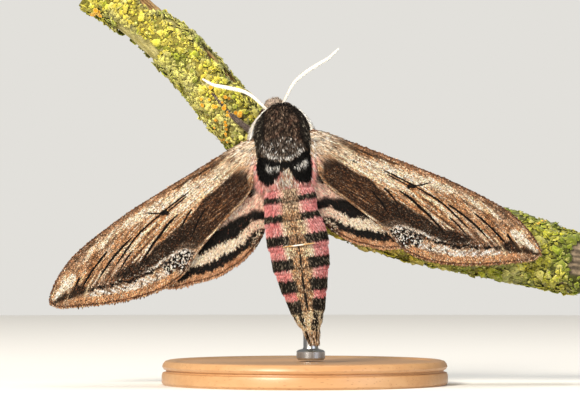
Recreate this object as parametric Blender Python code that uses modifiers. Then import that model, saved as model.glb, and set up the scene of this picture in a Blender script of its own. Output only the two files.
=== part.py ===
# A privet hawk moth at rest on a short length of lichened branch, life size, on a display stand.
# The origin is the middle of the base's underside. +Z is up, and the moth's back faces -Y,
# so its left wings lie towards -X. Lengths here are in millimetres; MM turns them to metres.
import math
import random

import bmesh
import bpy
import numpy as np
from mathutils import Vector

MM = 0.001
GAP = 0.3

BASE_RADIUS = 29.0
BASE_THICKNESS = 5.0
BASE_EDGE = 0.8
ROD_RADIUS = 1.5
ROD_X = 1.2
ROD_SINK = 5.0

# Branch: x, y, z and radius, from the upper left cut to the lower right one
BRANCH_ROUTE = [
    (-42.6, 1.5, 80.9, 5.0),
    (-37.4, 1.0, 76.7, 5.0),
    (-31.3, 0.4, 71.4, 5.0),
    (-24.2, 0.0, 65.3, 5.1),
    (-17.8, 0.0, 58.3, 5.0),
    (-11.5, 0.0, 51.2, 4.9),
    (-5.0, 0.0, 44.5, 4.9),
    (2.0, 0.0, 38.8, 4.9),
    (9.1, 0.5, 34.8, 5.0),
    (19.3, 1.8, 31.4, 5.2),
    (29.4, 3.0, 29.3, 5.5),
    (43.7, 4.0, 27.2, 6.3),
    (57.0, 4.2, 25.0, 6.6),
]
BRANCH_RINGS = 58
BRANCH_SIDES = 18
# The lichen is a lumpy crust this high all over the bark, with larger lobes that lift from it
CRUST_HEIGHT = 0.55
LICHEN_LOBES = 24
LICHEN_ENDS = (-39.5, 54.5)
LICHEN_RADIUS = (2.2, 3.2)
LICHEN_THICKNESS = 0.6
LICHEN_TILT = math.radians(16)
LICHEN_CORNERS = 7
LICHEN_RUFFLE = (0.78, 1.15)
LICHEN_WAVE = 0.18
LICHEN_CUP = 0.15
# The lobes follow one another round the branch by this turn, and keep clear of the feet and rod
LICHEN_TURN = 137.5
LICHEN_CLEARANCE = 3.2

# Body sections: x, y, z of the middle, half width and half depth, from the front to the tail
THORAX = [
    (-4.75, -14.0, 56.65, 0.6, 0.5),
    (-4.75, -13.9, 56.35, 1.8, 1.5),
    (-4.75, -13.7, 55.5, 3.3, 2.9),
    (-4.75, -13.5, 54.4, 4.5, 4.0),
    (-4.75, -13.45, 53.0, 5.45, 4.9),
    (-4.68, -13.45, 51.3, 6.0, 5.5),
    (-4.52, -13.5, 49.3, 6.1, 5.8),
    (-4.35, -13.5, 47.0, 5.85, 5.6),
    (-4.15, -13.3, 44.6, 5.6, 5.2),
    (-3.95, -13.1, 41.8, 5.1, 4.6),
    (-3.70, -13.0, 40.2, 4.4, 3.9),
    (-3.60, -13.0, 39.5, 3.2, 2.8),
]
THORAX_TILT = math.radians(4.4)
THORAX_RINGS = 22
THORAX_SIDES = 24
ABDOMEN = [
    (-3.80, -13.0, 42.6, 3.4, 3.2),
    (-3.20, -13.0, 39.4, 4.9, 4.6),
    (-2.90, -13.0, 36.6, 5.3, 4.9),
    (-2.70, -13.0, 34.4, 5.45, 5.1),
    (-1.83, -13.0, 31.0, 6.1, 5.6),
    (-1.10, -12.9, 27.0, 5.95, 5.5),
    (-0.70, -12.8, 23.8, 5.55, 5.2),
    (-0.32, -12.6, 20.8, 4.85, 4.6),
    (0.07, -12.4, 18.4, 4.25, 4.0),
    (0.45, -12.2, 16.0, 3.6, 3.4),
    (0.85, -12.0, 13.4, 2.75, 2.6),
    (1.30, -11.8, 11.4, 1.9, 1.8),
    (1.85, -11.6, 9.5, 0.95, 0.9),
    (1.95, -11.5, 8.9, 0.5, 0.45),
]
# Heights of the abdomen's segment edges on its middle line
SEGMENT_EDGES = [36.8, 32.6, 28.4, 24.0, 20.0, 16.0]
SEGMENT_LIP = 0.03
SEGMENT_STEP = 0.22
ABDOMEN_TILT = math.radians(7.5)
ABDOMEN_SIDES = 24

# Locks: start and tip as height, degrees from the middle of the back, and lift off the skin
LOCK_SINK = 0.6
LOCK_THICKNESS = 0.5
LOCK_SHARES = (0.0, 0.4, 0.78, 1.0)
LOCK_SWELL = (0.8, 1.0, 0.72)
REAR_LOCKS = [(-62, 0), (-46, 1), (-30, 0), (-14, 1), (2, 0), (18, 1), (34, 0), (50, 1), (64, 0)]
REAR_LOCK_HEIGHTS = [(43.6, 39.5), (42.6, 38.4)]
REAR_LOCK_LIFT = 1.0
REAR_LOCK_WIDTH = 3.0
# Side locks: start and tip heights on the left, start and tip degrees, and lift; the right
# wing grows higher on the body, so its locks do too
SHOULDER_LOCKS = [(53.9, 50.6, 84, 76, 1.0), (52.4, 49.5, 78, 71, 1.6)]
SHOULDER_LOCK_WIDTH = 2.0
SHOULDER_RIGHT_HIGHER = 2.2
WING_ROOT_LOCKS = [(43.6, 39.4, 78, 75, 0.8), (41.8, 37.6, 70, 72, 0.9)]
WING_ROOT_LOCK_WIDTH = 1.6
WING_ROOT_RIGHT_HIGHER = 0.8
TAIL_LOCKS = 8
TAIL_LOCK_HEIGHTS = [(13.4, 9.7), (12.2, 9.1)]
TAIL_LOCK_LIFT = 0.35
TAIL_LOCK_WIDTH = 1.1
# Crown tuft, in the head's own directions: half its width, its two rows' places, and its lean
CROWN_LOCKS = 5
CROWN_LOCK_LENGTH = 2.3
CROWN_LOCK_WIDTH = 1.3
CROWN_HALF_WIDTH = 0.75
CROWN_ROWS = (0.1, 0.9)
CROWN_HEIGHT = 1.55
CROWN_LEAN = (0.5, 1.3, 1.05)

HEAD_CENTRE = (-5.9, -8.3, 55.2)
HEAD_LEAN = math.radians(17)
HEAD_TUCK = math.radians(50)
HEAD_RADII = (2.6, 2.35, 2.35)
EYE_RADIUS = 1.4
EYE_PLACE = (2.2, 0.3, -0.45)
PALP_ROUTE = [(1.05, 1.2, -1.5), (1.05, 2.3, -1.9), (1.0, 3.05, -1.2), (0.95, 3.1, -0.2), (0.85, 2.9, 0.6)]
PALP_RADII = [0.6, 0.62, 0.6, 0.55, 0.35]
COIL_CENTRE = (0.0, 2.3, -2.85)
COIL_RADII = (0.35, 1.25)
COIL_TURNS = 1.6
COIL_TUBE = 0.26
COIL_POINTS = 22
PALP_POINTS = 8

# Antennae: how far each one's route goes, as x, y, z, from the head to the tip
ANTENNA_LEFT = [
    (-7.0, -9.0, 55.4),
    (-8.0, -10.2, 55.9),
    (-9.1, -10.8, 56.9),
    (-10.6, -11.0, 58.2),
    (-12.2, -10.9, 59.1),
    (-14.0, -10.7, 59.6),
    (-16.0, -10.4, 60.0),
    (-18.0, -10.1, 60.4),
    (-19.2, -9.9, 60.9),
    (-20.4, -9.7, 61.6),
]
ANTENNA_RIGHT = [
    (-4.8, -9.0, 56.0),
    (-4.15, -10.2, 57.2),
    (-3.4, -10.8, 58.7),
    (-2.3, -11.1, 60.7),
    (-0.9, -11.1, 62.1),
    (0.8, -11.0, 63.4),
    (3.1, -10.8, 64.8),
    (4.7, -10.6, 65.8),
    (5.9, -10.4, 66.9),
    (6.7, -10.2, 67.7),
]
ANTENNA_POINTS = 16
ANTENNA_RADII = [0.42, 0.42, 0.44, 0.44, 0.42, 0.36, 0.22]

# Legs: root inside the thorax, hip and knee, then where the foot grips the branch: the x of the
# branch's middle line and the angle round it from the front upwards, at the heel and at the toe
LEGS = {
    "foreleg_left": (
        [(-7.0, -10.6, 50.8), (-9.2, -8.9, 51.0), (-11.7, -7.9, 51.9)],
        (-14.9, -3),
        (-18.4, -3),
    ),
    "foreleg_right": (
        [(-3.2, -10.6, 51.6), (-1.4, -8.6, 51.6), (0.2, -6.9, 50.6)],
        (-1.2, 55),
        (1.6, 49),
    ),
    "midleg_left": (
        [(-6.8, -10.0, 47.8), (-9.0, -8.3, 47.4), (-11.4, -6.9, 46.6)],
        (-8.2, -48),
        (-10.8, -62),
    ),
    "midleg_right": (
        [(-1.8, -10.0, 48.4), (0.4, -8.2, 48.0), (3.2, -7.0, 46.6)],
        (4.4, 43),
        (7.6, 37),
    ),
    "hindleg_left": (
        [(-6.4, -10.0, 44.4), (-8.4, -8.2, 43.6), (-10.0, -6.6, 42.0)],
        (-4.4, -44),
        (-1.6, -58),
    ),
    "hindleg_right": (
        [(-1.6, -10.0, 44.8), (0.6, -8.4, 43.8), (2.8, -7.6, 42.0)],
        (6.0, 8),
        (9.6, 0),
    ),
}
LEG_RADII = [0.9, 0.95, 0.8, 0.6, 0.62, 0.52, 0.36, 0.33, 0.28]
LEG_POINTS = 13
FOOT_HEIGHT = 0.55
TARSUS_STEPS = 3
FOOT_SPOTS = (-0.2, 0.2, 0.6, 1.0)

# Forewing outline: s runs out along the wing from its hinge, t back towards the tail
FORE_COSTA = [
    (-3.0, 2.2),
    (0.0, 0.0),
    (6.3, -1.05),
    (13.5, -2.05),
    (19.6, -2.9),
    (26.2, -3.75),
    (31.8, -4.15),
    (37.2, -4.3),
    (41.6, -4.1),
    (45.0, -3.35),
    (48.0, -2.2),
    (50.2, -0.8),
    (50.9, 0.2),
]
FORE_TERMEN = [
    (50.9, 0.2),
    (50.2, 2.2),
    (48.0, 3.9),
    (44.7, 6.1),
    (41.8, 7.9),
    (38.0, 10.0),
    (34.5, 11.5),
    (31.5, 12.4),
    (28.4, 12.8),
    (25.9, 12.65),
    (23.3, 11.4),
]
FORE_INNER = [
    (-0.8, 4.9),
    (1.6, 5.3),
    (3.4, 6.9),
    (5.3, 8.3),
    (7.8, 9.05),
    (11.2, 9.4),
    (14.6, 9.9),
    (18.0, 10.3),
    (21.2, 10.9),
    (23.3, 11.4),
]
# Hindwing outline: a runs outwards from the hinge, b back along the tail axis
HIND_COSTA = [(-1.6, -3.2), (3.0, -2.3), (8.0, 1.8), (14.0, 7.2), (20.0, 12.6), (24.0, 16.2), (24.9, 17.6)]
HIND_TERMEN = [
    (24.9, 17.6),
    (23.6, 18.5),
    (21.1, 19.1),
    (18.85, 19.2),
    (15.9, 18.8),
    (13.05, 18.6),
    (10.7, 18.2),
    (8.6, 17.4),
    (6.16, 16.5),
    (3.96, 15.0),
    (2.2, 13.8),
    (1.1, 12.2),
]
HIND_INNER = [(-1.8, 1.0), (-1.0, 3.0), (-0.6, 6.0), (-0.1, 9.0), (0.6, 11.2), (1.1, 12.2)]
# Veins: place across the wing from the costa (0) to the inner margin (1), and where each starts
FORE_VEINS = [(0.07, 0.0), (0.20, 0.0), (0.34, 0.42), (0.48, 0.45), (0.62, 0.4), (0.76, 0.0), (0.92, 0.0)]
HIND_VEINS = [(0.10, 0.0), (0.28, 0.0), (0.45, 0.4), (0.62, 0.35), (0.78, 0.0), (0.92, 0.0)]
FORE_COLUMNS = 18
HIND_COLUMNS = 12
WING_THICKNESS = 0.55
VEIN_RISE = 0.14
VEIN_HALF_WIDTH = 0.34
WING_ROOT_Y = -15.0
WING_DROOP = math.tan(math.radians(11))
WING_BACKWARD_FALL = 0.05
WING_CAMBER = 0.45
HIND_BELOW_FORE = 1.25
TAIL_AXIS = math.radians(9.3)
# Each side: sign along X, forewing hinge (x, z), sweep below the horizontal, hindwing hinge
SIDES = {
    "left": (-1, (-12.0, 49.2), math.radians(39.3), (-9.4, 41.8)),
    "right": (1, (2.8, 51.3), math.radians(28.6), (1.2, 43.8)),
}

for old in list(bpy.data.objects):
    bpy.data.objects.remove(old, do_unlink=True)
model = bpy.data.collections.new("privet_hawk_moth")
tools = bpy.data.collections.new("cutters")
for collection in (model, tools):
    bpy.context.scene.collection.children.link(collection)


def material(name, colour, roughness, metallic=0.0):
    made = bpy.data.materials.new(name)
    made.use_nodes = True
    shader = made.node_tree.nodes["Principled BSDF"]
    shader.inputs["Base Color"].default_value = (*colour, 1.0)
    shader.inputs["Roughness"].default_value = roughness
    shader.inputs["Metallic"].default_value = metallic
    return made


def smooth_rows(rows, count):
    # Rows read at even steps from a Catmull-Rom curve through the given rows
    rows = np.asarray(rows, float)
    padded = np.vstack([2 * rows[0] - rows[1], rows, 2 * rows[-1] - rows[-2]])
    place = np.linspace(0, len(rows) - 1, count)
    span = np.minimum(place.astype(int), len(rows) - 2)
    f = (place - span)[:, None]
    a, b, c, d = (padded[span + k] for k in range(4))
    cubic = 3 * b - a - 3 * c + d
    square = 2 * a - 5 * b + 4 * c - d
    return 0.5 * (2 * b + (c - a) * f + square * f**2 + cubic * f**3)


def even_rows(rows, places):
    # Rows at the given fractions of the curve's own length
    dense = smooth_rows(rows, 40 * len(rows))
    steps = np.linalg.norm(np.diff(dense[:, :3], axis=0), axis=1)
    along = np.concatenate([[0.0], np.cumsum(steps)])
    wanted = np.asarray(places) * along[-1]
    return np.stack([np.interp(wanted, along, column) for column in dense.T], axis=1)


def add_object(name, mesh, made_of, collection):
    thing = bpy.data.objects.new(name, mesh)
    collection.objects.link(thing)
    if made_of:
        mesh.materials.append(made_of)
    else:
        thing.hide_render = True
        thing.display_type = "WIRE"
    return thing


def evaluated_mesh(thing):
    depsgraph = bpy.context.evaluated_depsgraph_get()
    return bpy.data.meshes.new_from_object(thing.evaluated_get(depsgraph))


def mesh_from_rings(name, rings):
    # A closed loft: quads between rings of equal count, and a fan over each end
    work = bmesh.new()
    loops = [[work.verts.new(Vector(point) * MM) for point in ring] for ring in rings]
    for one, two in zip(loops, loops[1:]):
        for k in range(len(one)):
            j = (k + 1) % len(one)
            work.faces.new((one[k], one[j], two[j], two[k]))
    for loop, ring in ((loops[0], rings[0]), (loops[-1], rings[-1])):
        middle = work.verts.new(Vector(np.mean(ring, axis=0)) * MM)
        for k in range(len(loop)):
            work.faces.new((loop[k], loop[(k + 1) % len(loop)], middle))
    bmesh.ops.recalc_face_normals(work, faces=work.faces)
    mesh = bpy.data.meshes.new(name)
    work.to_mesh(mesh)
    work.free()
    return mesh


def body_rings(stations, sides, tilt, grow=0.0):
    # Elliptical rings square to the tilted axis; grow makes the copy that cuts a neighbour
    stations = np.array(stations, float)
    middles = stations[:, :3]
    along = np.array((math.sin(tilt), 0.0, -math.cos(tilt)))
    across = np.array((math.cos(tilt), 0.0, math.sin(tilt)))
    middles[0] -= along * grow
    middles[-1] += along * grow
    turn = np.linspace(0, 2 * math.pi, sides, endpoint=False)
    width = (stations[:, 3] + grow)[:, None, None]
    depth = (stations[:, 4] + grow)[:, None, None]
    sideways = across * np.cos(turn)[None, :, None]
    upright = np.array((0.0, 1.0, 0.0)) * np.sin(turn)[None, :, None]
    return middles[:, None] + width * sideways + depth * upright


def thorax_rings(grow=0.0):
    return body_rings(smooth_rows(THORAX, THORAX_RINGS), THORAX_SIDES, THORAX_TILT, grow)


def abdomen_stations():
    # Each segment widens to its rear edge, then steps in under it
    dense = smooth_rows(ABDOMEN, 400)[::-1]
    heights = [ABDOMEN[0][2], 39.0]
    swell = [1.0, 1.0]
    for above, edge in zip([39.0] + SEGMENT_EDGES, SEGMENT_EDGES):
        heights += [(above + edge) / 2, edge, edge - SEGMENT_STEP]
        swell += [1.0, 1.0 + SEGMENT_LIP, 1.0 - SEGMENT_LIP]
    for height in (14.2, 12.4, 10.8, 9.6, ABDOMEN[-1][2]):
        heights.append(height)
        swell.append(1.0)
    rows = np.stack([np.interp(heights, dense[:, 2], column) for column in dense.T], axis=1)
    rows[:, 3:] *= np.array(swell)[:, None]
    return rows


def body_at(height):
    # Middle of the body at this height, and the larger of the two bodies' half widths and depths
    found = []
    for table in (THORAX, ABDOMEN):
        dense = smooth_rows(table, 400)[::-1]
        if dense[0, 2] <= height <= dense[-1, 2]:
            found.append([np.interp(height, dense[:, 2], column) for column in dense.T])
    found = np.array(found)
    return found[0, :3], found[:, 3].max(), found[:, 4].max()


def on_body(height, degrees, lift):
    # A point above the skin; degrees run from the middle of the back towards +X
    middle, width, depth = body_at(height)
    angle = math.radians(degrees)
    off = ((width + lift) * math.sin(angle), -(depth + lift) * math.cos(angle), 0.0)
    return middle + np.array(off)


def lock(name, points, outwards, width):
    # A flat, tapered, four-sided lock along the points, its root cut square and its tip a point
    points = [np.array(point) for point in points]
    work = bmesh.new()
    rings = []
    last = len(points) - 1
    for k in range(last):
        along = points[k + 1] - points[max(k - 1, 0)]
        side = np.cross(along, outwards)
        side *= width / 2 * LOCK_SWELL[k] / np.linalg.norm(side)
        lift = np.cross(side, along)
        lift *= LOCK_THICKNESS / 2 / np.linalg.norm(lift)
        corners = (points[k] + side, points[k] + lift, points[k] - side, points[k] - lift)
        rings.append([work.verts.new(Vector(corner) * MM) for corner in corners])
    tip = work.verts.new(Vector(points[last]) * MM)
    work.faces.new(rings[0])
    for one, two in zip(rings, rings[1:]):
        for k in range(4):
            j = (k + 1) % 4
            work.faces.new((one[k], one[j], two[j]))
            work.faces.new((one[k], two[j], two[k]))
    for k in range(4):
        work.faces.new((rings[-1][k], rings[-1][(k + 1) % 4], tip))
    bmesh.ops.recalc_face_normals(work, faces=work.faces)
    mesh = bpy.data.meshes.new(name)
    work.to_mesh(mesh)
    work.free()
    return add_object(name, mesh, None, tools)


def body_lock(start, tip, degrees, tip_degrees, lift, width):
    # A lock that leaves the skin at one height and lies over it down to another
    points = []
    for share in LOCK_SHARES:
        height = start + share * (tip - start)
        turn = degrees + share * (tip_degrees - degrees)
        points.append(on_body(height, turn, (lift + LOCK_SINK) * math.sqrt(share) - LOCK_SINK))
    outwards = on_body(start, degrees, 1.0) - on_body(start, degrees, 0.0)
    return lock("lock", points, outwards, width)


def side_locks(table, width, right_higher):
    locks = []
    for side, higher in ((-1, 0.0), (1, right_higher)):
        for start, tip, degrees, tip_degrees, lift in table:
            ends = (start + higher, tip + higher)
            locks.append(body_lock(*ends, side * degrees, side * tip_degrees, lift, width))
    return locks


def thorax_locks():
    locks = []
    for degrees, row in REAR_LOCKS:
        start, tip = REAR_LOCK_HEIGHTS[row]
        locks.append(body_lock(start, tip, degrees, degrees, REAR_LOCK_LIFT, REAR_LOCK_WIDTH))
    locks += side_locks(SHOULDER_LOCKS, SHOULDER_LOCK_WIDTH, SHOULDER_RIGHT_HIGHER)
    locks += side_locks(WING_ROOT_LOCKS, WING_ROOT_LOCK_WIDTH, WING_ROOT_RIGHT_HIGHER)
    return locks


def tail_locks():
    locks = []
    for k in range(TAIL_LOCKS):
        start, tip = TAIL_LOCK_HEIGHTS[k % 2]
        degrees = 360 * k / TAIL_LOCKS
        locks.append(body_lock(start, tip, degrees, degrees, TAIL_LOCK_LIFT, TAIL_LOCK_WIDTH))
    return locks


def branch_line(x):
    # Middle, radius, direction and upward normal of the branch where its middle line has this x
    dense = smooth_rows(BRANCH_ROUTE, 600)
    here = np.array([np.interp(x, dense[:, 0], column) for column in dense.T])
    ahead = np.array([np.interp(x + 0.5, dense[:, 0], column) for column in dense.T])
    along = ahead[:3] - here[:3]
    along /= np.linalg.norm(along)
    up = np.cross(along, (0.0, 1.0, 0.0))
    up *= math.copysign(1.0, up[2])
    return here[:3], here[3], along, up / np.linalg.norm(up)


def on_branch(x, degrees, height):
    middle, radius, along, up = branch_line(x)
    angle = math.radians(degrees)
    outwards = math.cos(angle) * np.array((0.0, -1.0, 0.0)) + math.sin(angle) * up
    return middle + (radius + height) * outwards


def branch_rings(grow=0.0):
    stations = even_rows(BRANCH_ROUTE, np.linspace(0, 1, BRANCH_RINGS))
    middles = stations[:, :3]
    along = np.gradient(middles, axis=0)
    along /= np.linalg.norm(along, axis=1)[:, None]
    up = np.cross((0.0, 1.0, 0.0), along)
    up /= np.linalg.norm(up, axis=1)[:, None]
    front = np.cross(along, up)
    turn = np.linspace(0, 2 * math.pi, BRANCH_SIDES, endpoint=False)
    ridges = branch_relief(np.linspace(0, 1, BRANCH_RINGS)[:, None], turn[None, :])
    radius = (stations[:, 3:4] + ridges + grow)[:, :, None]
    spokes = up[:, None] * np.sin(turn)[None, :, None] + front[:, None] * np.cos(turn)[None, :, None]
    return middles[:, None] + radius * spokes


def branch_relief(along, turn):
    # Low swellings of the bark, and the lichen crust's lumps on it
    swell = 0.25 * np.sin(23 * along + 2 * turn) * np.sin(41 * along - turn + 1.0)
    draw = np.random.default_rng(5)
    crust = draw.uniform(0.0, 1.0, np.broadcast(along, turn).shape)
    return swell + CRUST_HEIGHT * crust


def kept_clear():
    # Points that the lichen stays away from: the feet and the rod's head
    spots = []
    for upper, heel, toe in LEGS.values():
        for share in FOOT_SPOTS:
            x = heel[0] + share * (toe[0] - heel[0])
            spots.append(on_branch(x, heel[1] + share * (toe[1] - heel[1]), 0.0))
    spots.append(on_branch(ROD_X, -90, 0.0))
    return spots


def lichen_lobe(x, degrees, radius, spin, draw):
    # A ruffled plate, thick enough to stand, with one edge sunk in the bark and one lifted
    root = on_branch(x, degrees, 0.0)
    out = on_branch(x, degrees, 1.0) - root
    along = branch_line(x)[2]
    across = np.cross(out, along)
    lie = math.cos(spin) * along + math.sin(spin) * across
    rise = math.cos(LICHEN_TILT) * lie + math.sin(LICHEN_TILT) * out
    side = np.cross(out, lie)
    face = np.cross(rise, side)
    face *= math.copysign(1.0, face @ out)
    middle = root + LICHEN_WAVE * out
    work = bmesh.new()
    rims = []
    ruffle = [draw.uniform(*LICHEN_RUFFLE) for corner in range(LICHEN_CORNERS)]
    wave = [draw.uniform(-LICHEN_WAVE, LICHEN_WAVE) for corner in range(LICHEN_CORNERS)]
    for shift in (0.5, -0.5):
        rim = []
        for k in range(LICHEN_CORNERS):
            turn = 2 * math.pi * k / LICHEN_CORNERS
            reach = radius * ruffle[k]
            spot = middle + reach * (math.cos(turn) * rise + math.sin(turn) * side)
            spot += (shift * LICHEN_THICKNESS + wave[k]) * face
            rim.append(work.verts.new(Vector(spot) * MM))
        centre = work.verts.new(Vector(middle + (shift * LICHEN_THICKNESS - LICHEN_CUP) * face) * MM)
        for k in range(LICHEN_CORNERS):
            work.faces.new((rim[k], rim[(k + 1) % LICHEN_CORNERS], centre))
        rims.append(rim)
    for k in range(LICHEN_CORNERS):
        j = (k + 1) % LICHEN_CORNERS
        work.faces.new((rims[0][k], rims[0][j], rims[1][j]))
        work.faces.new((rims[0][k], rims[1][j], rims[1][k]))
    bmesh.ops.recalc_face_normals(work, faces=work.faces)
    mesh = bpy.data.meshes.new("lichen")
    work.to_mesh(mesh)
    work.free()
    return add_object("lichen", mesh, None, tools)


def lichen_lobes():
    draw = random.Random(7)
    clear = kept_clear()
    lobes = []
    for k in range(LICHEN_LOBES):
        share = (k + draw.uniform(0.2, 0.8)) / LICHEN_LOBES
        x = LICHEN_ENDS[0] + share * (LICHEN_ENDS[1] - LICHEN_ENDS[0])
        degrees = LICHEN_TURN * k
        radius = draw.uniform(*LICHEN_RADIUS)
        spin = draw.uniform(0, 2 * math.pi)
        root = on_branch(x, degrees, 0.0)
        nearest = min(np.linalg.norm(root - spot) for spot in clear)
        if nearest > LICHEN_CLEARANCE:
            lobes.append(lichen_lobe(x, degrees, radius, spin, draw))
    return lobes


def tube(name, points, radii, made_of, resolution=2):
    # A round bevelled curve through the points, turned to a mesh with its caps welded
    curve = bpy.data.curves.new(name, "CURVE")
    curve.dimensions = "3D"
    curve.bevel_depth = MM
    curve.bevel_resolution = resolution
    curve.use_fill_caps = True
    line = curve.splines.new("POLY")
    line.points.add(len(points) - 1)
    for spot, point, radius in zip(line.points, points, radii):
        spot.co = (*(Vector(point) * MM), 1.0)
        spot.radius = radius
    guide = add_object(name + "_line", curve, None, tools)
    mesh = evaluated_mesh(guide)
    bpy.data.objects.remove(guide, do_unlink=True)
    work = bmesh.new()
    work.from_mesh(mesh)
    bmesh.ops.remove_doubles(work, verts=work.verts, dist=1e-6)
    bmesh.ops.recalc_face_normals(work, faces=work.faces)
    work.to_mesh(mesh)
    work.free()
    mesh.name = name
    return add_object(name, mesh, made_of, model if made_of else tools)


def keep_largest(thing):
    # Keeps the closed surface of most volume and drops loose scraps and sealed hollows
    work = bmesh.new()
    work.from_mesh(thing.data)
    left = set(work.verts)
    groups = []
    while left:
        group = {left.pop()}
        edge_of_group = list(group)
        while edge_of_group:
            vert = edge_of_group.pop()
            for edge in vert.link_edges:
                other = edge.other_vert(vert)
                if other not in group:
                    group.add(other)
                    edge_of_group.append(other)
        left -= group
        groups.append(group)

    def reach(group):
        low = [min(vert.co[k] for vert in group) for k in range(3)]
        high = [max(vert.co[k] for vert in group) for k in range(3)]
        return math.dist(low, high)

    groups.sort(key=reach)
    for group in groups[:-1]:
        bmesh.ops.delete(work, geom=list(group), context="VERTS")
    work.to_mesh(thing.data)
    work.free()


def combine(thing, others, operation, solver="EXACT"):
    # Joins or cuts with a set of closed meshes, which are then removed
    helpers = bpy.data.collections.new(thing.name + "_" + operation.lower())
    tools.children.link(helpers)
    for other in others:
        for holder in list(other.users_collection):
            holder.objects.unlink(other)
        helpers.objects.link(other)
    step = thing.modifiers.new(operation.lower(), "BOOLEAN")
    step.operand_type = "COLLECTION"
    step.collection = helpers
    step.operation = operation
    step.solver = solver
    made_of = list(thing.data.materials)
    mesh = evaluated_mesh(thing)
    thing.modifiers.clear()
    thing.data = mesh
    thing.data.materials.clear()
    for slot in made_of[:1]:
        thing.data.materials.append(slot)
    for other in others:
        bpy.data.objects.remove(other, do_unlink=True)
    bpy.data.collections.remove(helpers)
    keep_largest(thing)
    return thing


def grown_thorax():
    return add_object("grown_thorax", mesh_from_rings("grown_thorax", thorax_rings(GAP)), None, tools)


def grown_abdomen():
    rings = body_rings(abdomen_stations(), ABDOMEN_SIDES, ABDOMEN_TILT, GAP)
    return add_object("grown_abdomen", mesh_from_rings("grown_abdomen", rings), None, tools)


def grown_branch():
    return add_object("grown_branch", mesh_from_rings("grown_branch", branch_rings(GAP)), None, tools)


def head_frame():
    # Sideways, forward and crown directions of the tucked head
    up = Vector((-math.sin(HEAD_LEAN), 0.0, math.cos(HEAD_LEAN)))
    belly = Vector((0.0, 1.0, 0.0))
    forward = math.cos(HEAD_TUCK) * up + math.sin(HEAD_TUCK) * belly
    crown = math.sin(HEAD_TUCK) * up - math.cos(HEAD_TUCK) * belly
    return forward.cross(crown).normalized(), forward, crown


def in_head(place):
    sideways, forward, crown = head_frame()
    x, y, z = (float(length) for length in place)
    return Vector(HEAD_CENTRE) + x * sideways + y * forward + z * crown


def head_ball(name, radii, place, made_of, segments=18, rows=12):
    # A ball scaled along the head's own directions
    work = bmesh.new()
    bmesh.ops.create_uvsphere(work, u_segments=segments, v_segments=rows, radius=1.0)
    sideways, forward, crown = head_frame()
    middle = in_head(place)
    for vert in work.verts:
        x, y, z = vert.co
        spot = middle + x * radii[0] * sideways + y * radii[1] * forward + z * radii[2] * crown
        vert.co = spot * MM
    bmesh.ops.recalc_face_normals(work, faces=work.faces)
    mesh = bpy.data.meshes.new(name)
    work.to_mesh(mesh)
    work.free()
    return add_object(name, mesh, made_of, model if made_of else tools)


def grown_head():
    return head_ball("grown_head", [radius + GAP for radius in HEAD_RADII], (0, 0, 0), None)


def eye_place(side):
    return (side * EYE_PLACE[0], EYE_PLACE[1], EYE_PLACE[2])


def crown_locks():
    # The tuft between the antennae, leaning forwards over the face
    locks = []
    outwards = in_head((0, 0, 1)) - in_head((0, 0, 0))
    for k in range(CROWN_LOCKS):
        sideways = CROWN_HALF_WIDTH * (2 * k / (CROWN_LOCKS - 1) - 1)
        place = np.array((sideways, CROWN_ROWS[k % 2], CROWN_HEIGHT))
        lean = np.array((CROWN_LEAN[0] * sideways, CROWN_LEAN[1], CROWN_LEAN[2]))
        lean *= CROWN_LOCK_LENGTH / np.linalg.norm(lean)
        points = [in_head(place + share * lean) for share in LOCK_SHARES]
        locks.append(lock("lock", points, outwards, CROWN_LOCK_WIDTH))
    return locks


def build_head(fur, eye_stuff, palp_stuff, tongue_stuff):
    head = head_ball("head", HEAD_RADII, (0, 0, 0), fur)
    sockets = []
    for side, word in ((-1, "left"), (1, "right")):
        head_ball("eye_" + word, [EYE_RADIUS] * 3, eye_place(side), eye_stuff, 12, 8)
        sockets.append(head_ball("socket", [EYE_RADIUS + GAP] * 3, eye_place(side), None, 12, 8))
    combine(head, sockets + [grown_thorax()], "DIFFERENCE")
    combine(head, crown_locks(), "UNION")
    for side, word in ((-1, "left"), (1, "right")):
        route = smooth_rows([in_head((side * a, b, c)) for a, b, c in PALP_ROUTE], PALP_POINTS)
        radii = smooth_rows([[radius] for radius in PALP_RADII], PALP_POINTS)[:, 0]
        palp = tube("palp_" + word, route, radii, palp_stuff)
        combine(palp, [grown_head()], "DIFFERENCE")
    turns = np.linspace(0, COIL_TURNS * 2 * math.pi, COIL_POINTS)
    reach = np.linspace(COIL_RADII[0], COIL_RADII[1], COIL_POINTS)
    middle = np.array(COIL_CENTRE)
    spiral = [
        in_head((middle[0], middle[1] + r * math.cos(a), middle[2] + r * math.sin(a)))
        for a, r in zip(turns, reach)
    ]
    coil = tube("proboscis", spiral, [COIL_TUBE] * COIL_POINTS, tongue_stuff, 1)
    combine(coil, [grown_head()], "DIFFERENCE")


def build_antennae(stuff):
    for word, route in (("left", ANTENNA_LEFT), ("right", ANTENNA_RIGHT)):
        points = even_rows(route, np.linspace(0, 1, ANTENNA_POINTS))
        radii = smooth_rows([[radius] for radius in ANTENNA_RADII], ANTENNA_POINTS)[:, 0]
        antenna = tube("antenna_" + word, points, radii, stuff)
        combine(antenna, [grown_head(), grown_thorax()], "DIFFERENCE")


def build_legs(stuff):
    for name, (upper, heel, toe) in LEGS.items():
        foot = []
        for k in range(TARSUS_STEPS):
            share = k / (TARSUS_STEPS - 1)
            x = heel[0] + share * (toe[0] - heel[0])
            degrees = heel[1] + share * (toe[1] - heel[1])
            foot.append(on_branch(x, degrees, FOOT_HEIGHT))
        points = even_rows([*upper, *foot], np.linspace(0, 1, LEG_POINTS))
        radii = smooth_rows([[radius] for radius in LEG_RADII], LEG_POINTS)[:, 0]
        leg = tube(name, points, radii, stuff)
        combine(leg, [grown_thorax(), grown_branch()], "DIFFERENCE")


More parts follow.
